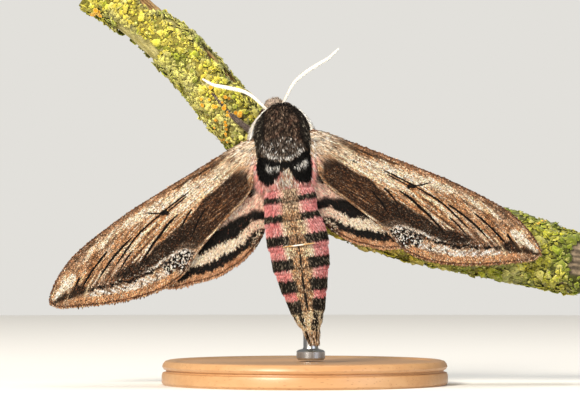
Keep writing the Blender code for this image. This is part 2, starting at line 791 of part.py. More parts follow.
def wing_sheet_y(s, t):
    # Depth of the forewing's middle surface: it droops outwards, and falls and bows backwards
    bow = WING_CAMBER * ((t - 3.0) / 8.0) ** 2 / (1.0 + ((t - 3.0) / 12.0) ** 2)
    return WING_ROOT_Y + WING_DROOP * s + WING_BACKWARD_FALL * t + bow


def wing_directions(side):
    sign, hinge, sweep, hind_hinge = SIDES[side]
    outwards = np.array((sign * math.cos(sweep), -math.sin(sweep)))
    backwards = np.array((-sign * math.sin(sweep), -math.cos(sweep)))
    return np.array(hinge), outwards, backwards


def forewing_point(side, s, t):
    hinge, outwards, backwards = wing_directions(side)
    x, z = hinge + s * outwards + t * backwards
    return np.array((x, wing_sheet_y(s, t), z))


def hindwing_point(side, a, b):
    sign, hinge, sweep, hind_hinge = SIDES[side]
    tail = np.array((math.sin(TAIL_AXIS), -math.cos(TAIL_AXIS)))
    out = sign * np.array((math.cos(TAIL_AXIS), math.sin(TAIL_AXIS)))
    x, z = np.array(hind_hinge) + a * out + b * tail
    fore_hinge, outwards, backwards = wing_directions(side)
    off = np.array((x, z)) - fore_hinge
    y = wing_sheet_y(off @ outwards, off @ backwards) + HIND_BELOW_FORE
    return np.array((x, y, z))


def wing_grid(costa, inner, termen, veins, columns):
    # A Coons patch between the four margins, in wing coordinates, with three lines for each vein
    u = np.linspace(0, 1, columns + 1)
    front = even_rows(costa, u)
    rear = even_rows(inner, u)
    chord = np.linalg.norm(front - rear, axis=1)
    rows = [(np.zeros_like(u), np.zeros_like(u))]
    spacing = min(b[0] - a[0] for a, b in zip(veins, veins[1:]))
    for place, start in veins:
        half = np.minimum(VEIN_HALF_WIDTH / chord, 0.3 * spacing)
        fade = np.clip((u - start) / 0.12, 0.0, 1.0) if start else np.ones_like(u)
        for shift, height in ((-1, 0.0), (0, 1.0), (1, 0.0)):
            rows.append((place + shift * half, height * fade))
    rows.append((np.ones_like(u), np.zeros_like(u)))
    tips = np.array([row[0][-1] for row in rows])
    outer = even_rows(termen, tips)
    root = np.outer(1 - tips, front[0]) + np.outer(tips, rear[0])
    grid = np.empty((len(rows), len(u), 2))
    rise = np.array([row[1] for row in rows])
    for k, (v, height) in enumerate(rows):
        v = v[:, None]
        w = u[:, None]
        straight = (1 - v) * front + v * rear
        ends = (1 - w) * root[k] + w * outer[k]
        corners = (1 - w) * ((1 - v) * front[0] + v * rear[0]) + w * ((1 - v) * front[-1] + v * rear[-1])
        grid[k] = straight + ends - corners
    return grid, rise


def wing_mesh(name, grid, rise, to_space):
    # Both faces carry the same triangles, so the thin wing never crosses itself
    rows, columns = rise.shape
    work = bmesh.new()
    faces_of = []
    for sign in (-1, 1):
        lift = WING_THICKNESS / 2 + VEIN_RISE * rise
        sheet = []
        for i in range(rows):
            line = []
            for j in range(columns):
                spot = to_space(*grid[i, j]) + np.array((0.0, sign * lift[i, j], 0.0))
                line.append(work.verts.new(Vector(spot) * MM))
            sheet.append(line)
        faces_of.append(sheet)
    for sheet in faces_of:
        for i in range(rows - 1):
            for j in range(columns - 1):
                a, b = sheet[i][j], sheet[i][j + 1]
                c, d = sheet[i + 1][j + 1], sheet[i + 1][j]
                work.faces.new((a, b, c))
                work.faces.new((a, c, d))
    top, under = faces_of
    rim = [(0, j) for j in range(columns)] + [(i, columns - 1) for i in range(1, rows)]
    rim += [(rows - 1, j) for j in range(columns - 2, -1, -1)] + [(i, 0) for i in range(rows - 2, 0, -1)]
    for one, two in zip(rim, rim[1:] + rim[:1]):
        a, b = top[one[0]][one[1]], top[two[0]][two[1]]
        c, d = under[two[0]][two[1]], under[one[0]][one[1]]
        work.faces.new((a, b, c))
        work.faces.new((a, c, d))
    bmesh.ops.recalc_face_normals(work, faces=work.faces)
    mesh = bpy.data.meshes.new(name)
    work.to_mesh(mesh)
    work.free()
    return mesh


def build_wings(fore_stuff, hind_stuff):
    for side in SIDES:
        grid, rise = wing_grid(FORE_COSTA, FORE_INNER, FORE_TERMEN, FORE_VEINS, FORE_COLUMNS)
        name = "forewing_" + side
        mesh = wing_mesh(name, grid, rise, lambda s, t: forewing_point(side, s, t))
        combine(add_object(name, mesh, fore_stuff, model), [grown_thorax()], "DIFFERENCE")
        grid, rise = wing_grid(HIND_COSTA, HIND_INNER, HIND_TERMEN, HIND_VEINS, HIND_COLUMNS)
        name = "hindwing_" + side
        mesh = wing_mesh(name, grid, rise, lambda a, b: hindwing_point(side, a, b))
        wing = add_object(name, mesh, hind_stuff, model)
        combine(wing, [grown_thorax()], "DIFFERENCE")
        combine(wing, [grown_abdomen()], "DIFFERENCE")


def build_body(thorax_fur, abdomen_fur):
    thorax = add_object("thorax", mesh_from_rings("thorax", thorax_rings()), thorax_fur, model)
    combine(thorax, thorax_locks(), "UNION")
    rings = body_rings(abdomen_stations(), ABDOMEN_SIDES, ABDOMEN_TILT)
    abdomen = add_object("abdomen", mesh_from_rings("abdomen", rings), abdomen_fur, model)
    combine(abdomen, [grown_thorax()], "DIFFERENCE")
    combine(abdomen, tail_locks(), "UNION")


def build_branch(bark):
    branch = add_object("perch_branch", mesh_from_rings("perch_branch", branch_rings()), bark, model)
    combine(branch, lichen_lobes(), "UNION")


def build_stand(wood, steel):
    work = bmesh.new()
    bmesh.ops.create_cone(
        work,
        cap_ends=True,
        segments=44,
        radius1=BASE_RADIUS * MM,
        radius2=BASE_RADIUS * MM,
        depth=BASE_THICKNESS * MM,
    )
    mesh = bpy.data.meshes.new("stand_base")
    work.to_mesh(mesh)
    work.free()
    base = add_object("stand_base", mesh, wood, model)
    base.location = (0.0, 0.0, BASE_THICKNESS * MM / 2)
    edge = base.modifiers.new("edge", "BEVEL")
    edge.width = BASE_EDGE * MM
    edge.segments = 2
    edge.limit_method = "ANGLE"
    mesh.shade_smooth()
    mesh.set_sharp_from_angle(angle=math.radians(40))
    foot = BASE_THICKNESS + GAP
    middle, radius, along, up = branch_line(ROD_X)
    head = middle[2] - radius + ROD_SINK
    work = bmesh.new()
    bmesh.ops.create_cone(
        work,
        cap_ends=True,
        segments=16,
        radius1=ROD_RADIUS * MM,
        radius2=ROD_RADIUS * MM,
        depth=(head - foot) * MM,
    )
    for vert in work.verts:
        vert.co += Vector((ROD_X, 0.0, (head + foot) / 2)) * MM
    mesh = bpy.data.meshes.new("stand_rod")
    work.to_mesh(mesh)
    work.free()
    combine(add_object("stand_rod", mesh, steel, model), [grown_branch()], "DIFFERENCE")


dark_fur = material("dark thorax scales", (0.035, 0.027, 0.024), 0.9)
pink_fur = material("pink abdomen scales", (0.62, 0.30, 0.28), 0.85)
brown_wing = material("brown forewing scales", (0.36, 0.24, 0.16), 0.85)
pink_wing = material("pink hindwing scales", (0.66, 0.40, 0.33), 0.85)
grey_fur = material("grey head scales", (0.42, 0.34, 0.31), 0.9)
dark_eye = material("dark compound eye", (0.03, 0.02, 0.015), 0.25)
pale_horn = material("white antenna scales", (0.85, 0.83, 0.78), 0.7)
leg_scales = material("grey brown leg scales", (0.16, 0.12, 0.10), 0.85)
tongue_horn = material("brown proboscis", (0.22, 0.12, 0.06), 0.5)
lichen_bark = material("lichened bark", (0.42, 0.42, 0.10), 0.95)
pale_wood = material("pale beech wood", (0.62, 0.46, 0.30), 0.55)
brushed_steel = material("brushed steel", (0.55, 0.55, 0.56), 0.35, 1.0)

build_branch(lichen_bark)
build_body(dark_fur, pink_fur)
build_head(grey_fur, dark_eye, leg_scales, tongue_horn)
build_antennae(pale_horn)
build_legs(leg_scales)
build_wings(brown_wing, pink_wing)
build_stand(pale_wood, brushed_steel)
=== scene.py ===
import math

import bmesh
import bpy
import numpy as np
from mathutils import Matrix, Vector


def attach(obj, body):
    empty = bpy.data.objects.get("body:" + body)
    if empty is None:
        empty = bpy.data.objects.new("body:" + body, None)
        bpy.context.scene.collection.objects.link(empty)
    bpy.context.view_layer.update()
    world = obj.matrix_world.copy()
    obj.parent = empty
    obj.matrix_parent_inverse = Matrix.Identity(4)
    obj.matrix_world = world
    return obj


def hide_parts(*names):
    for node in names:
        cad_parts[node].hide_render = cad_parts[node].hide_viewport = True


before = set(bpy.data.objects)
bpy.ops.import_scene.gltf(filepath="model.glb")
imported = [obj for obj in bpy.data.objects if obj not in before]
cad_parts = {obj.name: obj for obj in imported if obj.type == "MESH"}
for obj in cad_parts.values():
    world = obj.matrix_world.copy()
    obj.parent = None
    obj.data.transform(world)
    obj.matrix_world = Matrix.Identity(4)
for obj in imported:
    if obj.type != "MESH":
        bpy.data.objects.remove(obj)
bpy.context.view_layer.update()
mm = 0.001
print("frame loaded")


# Curves, noise and colour masks

def smoothRows(rows, count):
    # rows read at even steps from a Catmull-Rom curve through the given rows
    rows = np.asarray(rows, float)
    padded = np.vstack([2 * rows[0] - rows[1], rows, 2 * rows[-1] - rows[-2]])
    place = np.linspace(0, len(rows) - 1, count)
    span = np.minimum(place.astype(int), len(rows) - 2)
    f = (place - span)[:, None]
    a, b, c, d = (padded[span + k] for k in range(4))
    cubic = 3 * b - a - 3 * c + d
    square = 2 * a - 5 * b + 4 * c - d
    return 0.5 * (2 * b + (c - a) * f + square * f**2 + cubic * f**3)


def evenRows(rows, shares):
    # rows at the given fractions of the curve's own length
    dense = smoothRows(rows, 40 * len(rows))
    steps = np.linalg.norm(np.diff(dense[:, :3], axis=0), axis=1)
    along = np.concatenate([[0.0], np.cumsum(steps)])
    wanted = np.asarray(shares) * along[-1]
    return np.stack([np.interp(wanted, along, column) for column in dense.T], axis=-1)


def lengthOf(rows):
    return np.sum(np.linalg.norm(np.diff(rows, axis=0), axis=1))


def wayAlong(read, share, step):
    # how far a curve moves on over a small step at each share
    return read(np.clip(share + step, 0, 1)) - read(np.clip(share - step, 0, 1))


noiseTable = np.random.default_rng(3).random((256, 256))


def softNoise(x, y, layer=0):
    # a smooth random field from 0 to 1, with lumps one unit wide
    x = np.asarray(x, float) + 37.7 * layer
    y = np.asarray(y, float) + 91.3 * layer
    column = np.floor(x).astype(int)
    row = np.floor(y).astype(int)
    fx = x - column
    fy = y - row
    fx = fx * fx * (3 - 2 * fx)
    fy = fy * fy * (3 - 2 * fy)

    def corner(a, b):
        return noiseTable[(column + a) % 256, (row + b) % 256]

    low = corner(0, 0) * (1 - fx) + corner(1, 0) * fx
    high = corner(0, 1) * (1 - fx) + corner(1, 1) * fx
    return low * (1 - fy) + high * fy


def nearLine(x, y, line):
    # distance from each point to a line, and how far along the line its nearest spot is
    best = np.full(x.shape, 1e9)
    where = np.zeros(x.shape)
    for k in range(len(line) - 1):
        a = line[k]
        d = line[k + 1] - a
        share = np.clip(((x - a[0]) * d[0] + (y - a[1]) * d[1]) / max(d @ d, 1e-12), 0, 1)
        gap = np.hypot(x - a[0] - share * d[0], y - a[1] - share * d[1])
        closer = gap < best
        best[closer] = gap[closer]
        where[closer] = (k + share[closer]) / (len(line) - 1)
    return best, where


def streak(x, y, route, width, soft=0.12, fade=0.2):
    # cover of a streak along the route that narrows to both its ends
    gap, along = nearLine(x, y, smoothRows(route, 4 * len(route)))
    taper = np.sqrt(np.clip(np.minimum(along, 1 - along) / fade, 0, 1))
    return np.clip((width / 2 * taper - gap) / soft + 0.5, 0, 1)


def patch(x, y, outline, soft=0.2):
    # cover of a closed, rounded outline, soft across its edge
    loop = smoothRows(outline + outline[:1], 5 * len(outline))
    gap, along = nearLine(x, y, loop)
    inside = np.zeros(x.shape, bool)
    for a, b in zip(loop, loop[1:]):
        crosses = (a[1] > y) != (b[1] > y)
        inside ^= crosses & (x < a[0] + (y - a[1]) * (b[0] - a[0]) / (b[1] - a[1] + 1e-12))
    return np.clip(np.where(inside, gap, -gap) / soft + 0.5, 0, 1)


def spot(x, y, centre, reach, soft=0.35):
    # cover of an oval spot, with its edge soft as a share of its size
    far = np.hypot((x - centre[0]) / reach[0], (y - centre[1]) / reach[1])
    return np.clip((1 - far) / soft + 0.5, 0, 1)


def ramp(value, start, end):
    # 0 before start and 1 past end, either way round, smooth between
    share = np.clip((value - start) / (end - start), 0, 1)
    return share * share * (3 - 2 * share)


def rgb(hexColour):
    return np.array([int(hexColour[k:k + 2], 16) / 255 for k in (1, 3, 5)])


def linear(colour):
    # sRGB, as hex or as rows of 0 to 1, to the linear values that the shaders use
    colour = rgb(colour) if isinstance(colour, str) else np.clip(colour, 0, 1)
    return np.where(colour <= 0.04045, colour / 12.92, ((colour + 0.055) / 1.055) ** 2.4)


def lay(under, over, cover):
    # one colour laid on another as far as the cover says; either is a hex tone or rows of colour
    under, over = (rgb(one) if isinstance(one, str) else one for one in (under, over))
    return under + (over - under) * np.clip(cover, 0, 1)[..., None]


def layers(colours, coats):
    # several tones laid on one after the other
    for tone, cover in coats:
        colours = lay(colours, tone, cover)
    return colours


def plain(count, hexColour):
    return np.tile(rgb(hexColour), (count, 1))


def speckle(colours, draw, light, dark, warm, shares):
    # single scales of other colours strewn among the rest, and each scale a little lighter or darker
    chance = draw.random(len(colours))
    bright = np.sum(colours, axis=1) / 3
    colours = layers(colours, [
        (light, (0.12 + 0.8 * bright) * (chance < shares[0])),
        (dark, 0.68 * ((chance > shares[0]) & (chance < shares[0] + shares[1]))),
        (warm, 0.5 * (chance > 1 - shares[2]))])
    return uneven(colours, draw, 0.72, 1.3)


# Materials

def addNode(tree, kind, settings=None, inputs=None):
    # adds a node, sets its settings and fills its inputs with values or links
    node = tree.nodes.new("ShaderNode" + kind)
    for key, value in (settings or {}).items():
        setattr(node, key, value)
    for key, value in (inputs or {}).items():
        if isinstance(value, bpy.types.NodeSocket):
            tree.links.new(value, node.inputs[key])
        else:
            node.inputs[key].default_value = value
    return node


def newMaterial(name, settings):
    # a Principled material with the given values on the shader's own sockets
    made = bpy.data.materials.new(name)
    made.use_nodes = True
    shader = made.node_tree.nodes["Principled BSDF"]
    for key, value in settings.items():
        shader.inputs[key].default_value = value
    return made, made.node_tree, shader


def wear(tree, shader, tone, bump):
    tree.links.new(tone.outputs[2], shader.inputs["Base Color"])
    tree.links.new(bump.outputs["Normal"], shader.inputs["Normal"])


def rgba(hexColour):
    return (*linear(hexColour), 1.0)


def tintedStuff(name, settings, grainSize, grain, tones, depth=0.0, strength=0.6):
    # coloured by the mesh's own attribute, with a grain of the given size in mm in its tone and relief
    made, tree, shader = newMaterial(name, settings)
    colour = addNode(tree, "Attribute", {"attribute_name": "scaleColour"})
    where = addNode(tree, "TexCoord")
    noise = addNode(tree, "TexNoise", None,
                    {"Vector": where.outputs["Object"], "Scale": 1 / (grainSize * mm), **grain})
    tone = addNode(tree, "MapRange", None, {"Value": noise.outputs["Fac"], **tones})
    shade = addNode(tree, "VectorMath", {"operation": "SCALE"},
                    {0: colour.outputs["Color"], "Scale": tone.outputs["Result"]})
    tree.links.new(shade.outputs["Vector"], shader.inputs["Base Color"])
    if depth:
        bump = addNode(tree, "Bump", None,
                       {"Height": noise.outputs["Fac"], "Distance": depth * mm, "Strength": strength})
        tree.links.new(bump.outputs["Normal"], shader.inputs["Normal"])
    return made


def scaledCoat(name, roughness, sheen, bumpSize, bumpDepth):
    # moth scales: matt chitin plates coloured one by one, with the soft bloom of their fine ribs
    settings = {"Roughness": roughness, "IOR": 1.45, "Sheen Weight": sheen, "Sheen Roughness": 0.5,
                "Specular IOR Level": 0.12}
    tones = {"To Min": 0.82, "To Max": 1.14}
    return tintedStuff(name, settings, bumpSize, {"Detail": 2.0}, tones, bumpDepth)


# Meshes

def place(name, mesh, material, slot, nodes):
    # puts a finished mesh in the scene, riding on the model's one body
    mesh.materials.append(material)
    thing = bpy.data.objects.new(name, mesh)
    bpy.context.scene.collection.objects.link(thing)
    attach(thing, "root")
    if nodes:
        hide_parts(*nodes)
    return thing


def meshOf(work, name, smooth=True):
    bmesh.ops.recalc_face_normals(work, faces=work.faces)
    for face in work.faces:
        face.smooth = smooth
    mesh = bpy.data.meshes.new(name)
    work.to_mesh(mesh)
    work.free()
    return mesh


def setColours(mesh, colours):
    # one sRGB row for each vertex, kept as the attribute that the scale materials read
    made = mesh.color_attributes.new("scaleColour", "FLOAT_COLOR", "POINT")
    rows = np.ones((len(mesh.vertices), 4), np.float32)
    rows[:, :3] = linear(colours)
    made.data.foreach_set("color", rows.ravel())


def points(mesh):
    co = np.empty(len(mesh.vertices) * 3, np.float32)
    mesh.vertices.foreach_get("co", co)
    return co.reshape(-1, 3) / mm


def rolledTube(name, along, around, where):
    # a grid rolled into a tube: where(share, turn) gives its points, then its seam and ends close
    work = bmesh.new()
    bmesh.ops.create_grid(work, x_segments=along, y_segments=around, size=1.0)
    flat = np.array([vert.co for vert in work.verts])
    spots = where((flat[:, 0] + 1) / 2, (flat[:, 1] + 1) * math.pi)
    for vert, point in zip(work.verts, spots):
        vert.co = point * mm
    bmesh.ops.remove_doubles(work, verts=work.verts, dist=1e-7)
    bmesh.ops.holes_fill(work, edges=[edge for edge in work.edges if edge.is_boundary], sides=0)
    return meshOf(work, name)


# Small things made many times, joined from arrays

ringSides = 7


def ringBand(low, high):
    # the triangles between two rings of points
    pairs = [(k, (k + 1) % ringSides) for k in range(ringSides)]
    upper = [(low + a, high + b, high + a) for a, b in pairs]
    return upper + [(low + a, low + b, high + b) for a, b in pairs]


def ringLid(start):
    return [(start, start + k + 1, start + k) for k in range(1, ringSides - 1)]


def roundPatch(corners):
    return [(0.5 * math.cos(k), 0.5 * math.sin(k)) for k in range(corners)]


lobeTop = [(k, (k + 1) % ringSides, ringSides) for k in range(ringSides)]
# for each kind of small piece its triangles, and its points' places in its patch of OFBake
pieceKinds = {
    "scale": ([(0, 1, 4), (1, 3, 4), (3, 2, 4), (2, 0, 4), (0, 3, 1), (0, 2, 3)],
              [(0, -0.5), (-0.5, 0.1), (0.5, 0.1), (0, 0.5), (0, 0)]),
    "tuft": ([(0, 1, 2), (0, 3, 1), (1, 3, 4), (1, 4, 2), (2, 4, 5), (2, 5, 0), (0, 5, 3), (3, 6, 4),
              (4, 6, 5), (5, 6, 3)],
             [(-0.5, -0.5), (0.5, -0.5), (0, -0.5), (-0.4, 0), (0.4, 0), (0, 0.1), (0, 0.5)]),
    "lobe": (lobeTop + ringBand(8, 0) + ringLid(8), roundPatch(15)),
    "cup": (lobeTop + ringBand(8, 0) + ringBand(15, 8) + ringLid(15), roundPatch(22)),
}
patchSize = 0.003
# the unwraps leave this much free at each side
mapEdge = 0.02
mapSpan = 1 - 2 * mapEdge


def unit(rows):
    return rows / np.maximum(np.linalg.norm(rows, axis=-1, keepdims=True), 1e-9)


def scales(root, lie, out, length, width, lift):
    # thin keeled plates, five points each: root, both shoulders, tip and keel
    side = unit(np.cross(lie, out))
    length, width, lift = (np.broadcast_to(v, len(root))[:, None] for v in (length, width, lift))
    low = root - 0.03 * out
    reach = root + lie * length + out * lift
    middle = root + 0.55 * lie * length + 0.55 * out * lift
    keel = middle + out * (0.12 * width + 0.01)
    return np.stack([low, middle - side * width / 2, middle + side * width / 2, reach, keel], axis=1)


def tufts(root, lie, out, length, width, lift, sink=0.15):
    # tapered, bent locks of hair-like scales, seven points each: root ring, bend ring and tip
    side = unit(np.cross(lie, out))
    length, width, lift = (np.broadcast_to(v, len(root))[:, None] for v in (length, width, lift))
    low = root - sink * out
    bend = root + 0.5 * lie * length + 0.8 * out * lift
    tip = root + lie * length + out * lift
    rings = []
    for centre, share in ((low, 0.8), (bend, 1.0)):
        half = side * width / 2 * share
        rings += [centre - half, centre + half, centre + out * width * 0.35 * share]
    return np.stack([*rings, tip], axis=1)


def joined(name, shapes, kind, colours, unwrap, material, slot):
    # one mesh of many like pieces; each has its colour and a small patch at its root's place in OFBake
    if isinstance(shapes, list):
        shapes, colours, unwrap = (np.concatenate(rows) for rows in (shapes, colours, unwrap))
    faces, around = (np.array(rows) for rows in pieceKinds[kind])
    count, corners = shapes.shape[:2]
    every = (faces[None] + corners * np.arange(count)[:, None, None]).reshape(-1, 3)
    mesh = bpy.data.meshes.new(name)
    mesh.vertices.add(count * corners)
    mesh.vertices.foreach_set("co", (shapes * mm).astype(np.float32).ravel())
    mesh.loops.add(len(every) * 3)
    mesh.loops.foreach_set("vertex_index", every.astype(np.int32).ravel())
    mesh.polygons.add(len(every))
    mesh.polygons.foreach_set("loop_start", np.arange(0, len(every) * 3, 3, dtype=np.int32))
    mesh.polygons.foreach_set("use_smooth", np.ones(len(every), bool))
    mesh.update(calc_edges=True)
    if kind in ("lobe", "cup"):
        work = bmesh.new()
        work.from_mesh(mesh)
        bmesh.ops.recalc_face_normals(work, faces=work.faces)
        work.to_mesh(mesh)
        work.free()
    order = np.empty(len(mesh.loops), np.int32)
    mesh.loops.foreach_get("vertex_index", order)
    spots = np.clip(unwrap[:, None] + patchSize * around[None], 0, 1).reshape(-1, 2)
    layer = mesh.uv_layers.new(name="OFBake")
    layer.data.foreach_set("uv", spots[order].astype(np.float32).ravel())
    if colours.ndim == 2:
        colours = np.repeat(colours[:, None], corners, axis=1)
    setColours(mesh, colours.reshape(-1, 3))
    print(name, len(every), "triangles")
    return place(name, mesh, material, slot, [])


def shaded(colours, tones=(0.62, 0.95, 1.08)):
    # a colour for each of a tuft's seven points: darker at its root as painted shade, lighter at its tip as
    # painted light
    rows = np.repeat(colours[:, None], 7, axis=1)
    rows[:, :3] *= tones[0]
    rows[:, 3:6] *= tones[1]
    rows[:, 6:] *= tones[2]
    return np.clip(rows, 0, 1)


def uneven(colours, draw, low, high):
    # each piece a little darker or lighter than the rest
    return np.clip(colours * draw.uniform(low, high, (len(colours), 1)), 0, 1)


def drawn(colour, x, y, routes, tone, cover, soft=0.12):
    # streaks along their routes, each of its own width
    for route, width in routes:
        colour = lay(colour, tone, cover * streak(x, y, route, width, soft))
    return colour


# Wings: u runs out from the hinge, v from the front margin to the inner one. s and t are
# millimetres along and across the forewing; a and b the same from the hindwing's hinge.

wing = {
    "rootY": -15.0,
    "droop": math.tan(math.radians(11)),
    "backwardFall": 0.05,
    "camber": 0.45,
    "hindBelow": 1.25,
    "tailAxis": math.radians(9.3),
    "halfSkin": 0.12,
    "edgeTaper": 0.5,
    "veinRise": 0.13,
    "veinHalfWidth": 0.3,
    "fringe": 0.16,
}
# sign along X, forewing hinge x and z, sweep below the horizontal, hindwing hinge x and z
sides = {
    "left": (-1, (-12.0, 49.2), math.radians(39.3), (-9.4, 41.8)),
    "right": (1, (2.8, 51.3), math.radians(28.6), (1.2, 43.8)),
}
foreShape = {
    "costa": [(-3, 2.2), (0, 0), (6.3, -1.05), (13.5, -2.05), (19.6, -2.9), (26.2, -3.75), (31.8, -4.15),
              (37.2, -4.3), (41.6, -4.1), (45, -3.35), (48, -2.2), (50.4, -0.75), (51.3, 0.3)],
    "termen": [(51.3, 0.3), (50.3, 2.2), (48, 3.9), (44.7, 6.1), (41.8, 7.9), (38, 10), (34.5, 11.5),
               (31.5, 12.4), (28.4, 12.8), (25.9, 12.65), (23.3, 11.4)],
    "inner": [(-0.8, 4.9), (1.6, 5.3), (3.4, 6.9), (5.3, 8.3), (7.8, 9.05), (11.2, 9.4), (14.6, 9.9),
              (18, 10.3), (21.2, 10.9), (23.3, 11.4)],
    "veins": [(0.07, 0), (0.2, 0), (0.34, 0.42), (0.48, 0.45), (0.62, 0.4), (0.76, 0), (0.92, 0)],
    "length": 52.0,
    "skinGrid": (200, 60),
}
hindShape = {
    "costa": [(-1.6, -3.2), (3, -2.3), (8, 1.8), (14, 7.2), (20, 12.6), (24, 16.2), (24.9, 17.6)],
    "termen": [(24.9, 17.6), (23.6, 18.5), (21.1, 19.1), (18.85, 19.2), (15.9, 18.8), (13.05, 18.6),
               (10.7, 18.1), (8.6, 17.2), (6.1, 16.1), (3.9, 14.5), (2.1, 12.9), (0.9, 11.4)],
    "inner": [(-1.8, 1), (-1, 3), (-0.6, 6), (-0.1, 8.6), (0.4, 10.4), (0.9, 11.4)],
    "veins": [(0.1, 0), (0.28, 0), (0.45, 0.4), (0.62, 0.35), (0.78, 0), (0.92, 0)],
    "length": 26.0,
    "skinGrid": (110, 72),
}
for shape in (foreShape, hindShape):
    for edge in ("costa", "termen", "inner"):
        shape[edge + "Even"] = evenRows(shape[edge], np.linspace(0, 1, 200))


def readEdge(shape, edge, share):
    rows = shape[edge + "Even"]
    steps = np.linspace(0, 1, len(rows))
    return np.stack([np.interp(share, steps, rows[:, k]) for k in (0, 1)], axis=-1)


def onSheet(shape, u, v):
    # a Coons patch between the wing's four margins
    u = np.clip(u, 0, 1)
    v = np.clip(v, 0, 1)
    front = readEdge(shape, "costa", u)
    rear = readEdge(shape, "inner", u)
    outer = readEdge(shape, "termen", v)
    frontRoot, rearRoot = shape["costaEven"][0], shape["innerEven"][0]
    frontTip, rearTip = shape["costaEven"][-1], shape["innerEven"][-1]
    u = u[..., None]
    v = v[..., None]
    root = (1 - v) * frontRoot + v * rearRoot
    corners = (1 - u) * root + u * ((1 - v) * frontTip + v * rearTip)
    return (1 - v) * front + v * rear + (1 - u) * root + u * outer - corners


def sheetDepth(s, t):
    bow = wing["camber"] * ((t - 3) / 8) ** 2 / (1 + ((t - 3) / 12) ** 2)
    return wing["rootY"] + wing["droop"] * s + wing["backwardFall"] * t + bow


def inSpace(shape, side, flat):
    # wing coordinates to x, y, z on the wing's middle surface
    sign, hinge, sweep, hindHinge = sides[side]
    outwards = np.array((sign * math.cos(sweep), -math.sin(sweep)))
    backwards = np.array((-sign * math.sin(sweep), -math.cos(sweep)))
    if shape is foreShape:
        spots = np.array(hinge) + flat[..., :1] * outwards + flat[..., 1:] * backwards
        depth = sheetDepth(flat[..., 0], flat[..., 1])
    else:
        tail = np.array((math.sin(wing["tailAxis"]), -math.cos(wing["tailAxis"])))
        out = sign * np.array((math.cos(wing["tailAxis"]), math.sin(wing["tailAxis"])))
        spots = np.array(hindHinge) + flat[..., :1] * out + flat[..., 1:] * tail
        off = spots - np.array(hinge)
        depth = sheetDepth(off @ outwards, off @ backwards) + wing["hindBelow"]
    return np.stack([spots[..., 0], depth, spots[..., 1]], axis=-1)


def chordAt(shape, u):
    return np.linalg.norm(readEdge(shape, "costa", u) - readEdge(shape, "inner", u), axis=-1)


def veinLift(shape, u, v):
    # ridges over the main veins, as in the solids
    chord = chordAt(shape, u)
    lift = np.zeros_like(u)
    for centre, start in shape["veins"]:
        far = np.abs(v - centre) * chord / wing["veinHalfWidth"]
        fade = np.clip((u - start) / 0.12, 0, 1) if start else 1.0
        lift = np.maximum(lift, fade * np.clip(1 - far, 0, 1))
    return lift


def skinHeight(shape, u, v):
    # half thickness of the wing's skin: thin at its edges, raised over the veins
    edge = np.minimum(np.minimum(v, 1 - v) * chordAt(shape, u), (1 - u) * shape["length"])
    taper = np.clip(edge / wing["edgeTaper"], 0, 1) ** 0.5
    return 0.02 + (wing["halfSkin"] - 0.02 + wing["veinRise"] * veinLift(shape, u, v)) * taper


def wingUnwrap(u, v, upper):
    # the upper side fills the map's lower half, the underside its upper half
    return np.stack([mapEdge + mapSpan * u, mapEdge + 0.46 * v + (0.0 if upper else 0.5)], axis=-1)


# Forewing markings, in millimetres along (s) and across (t) the wing

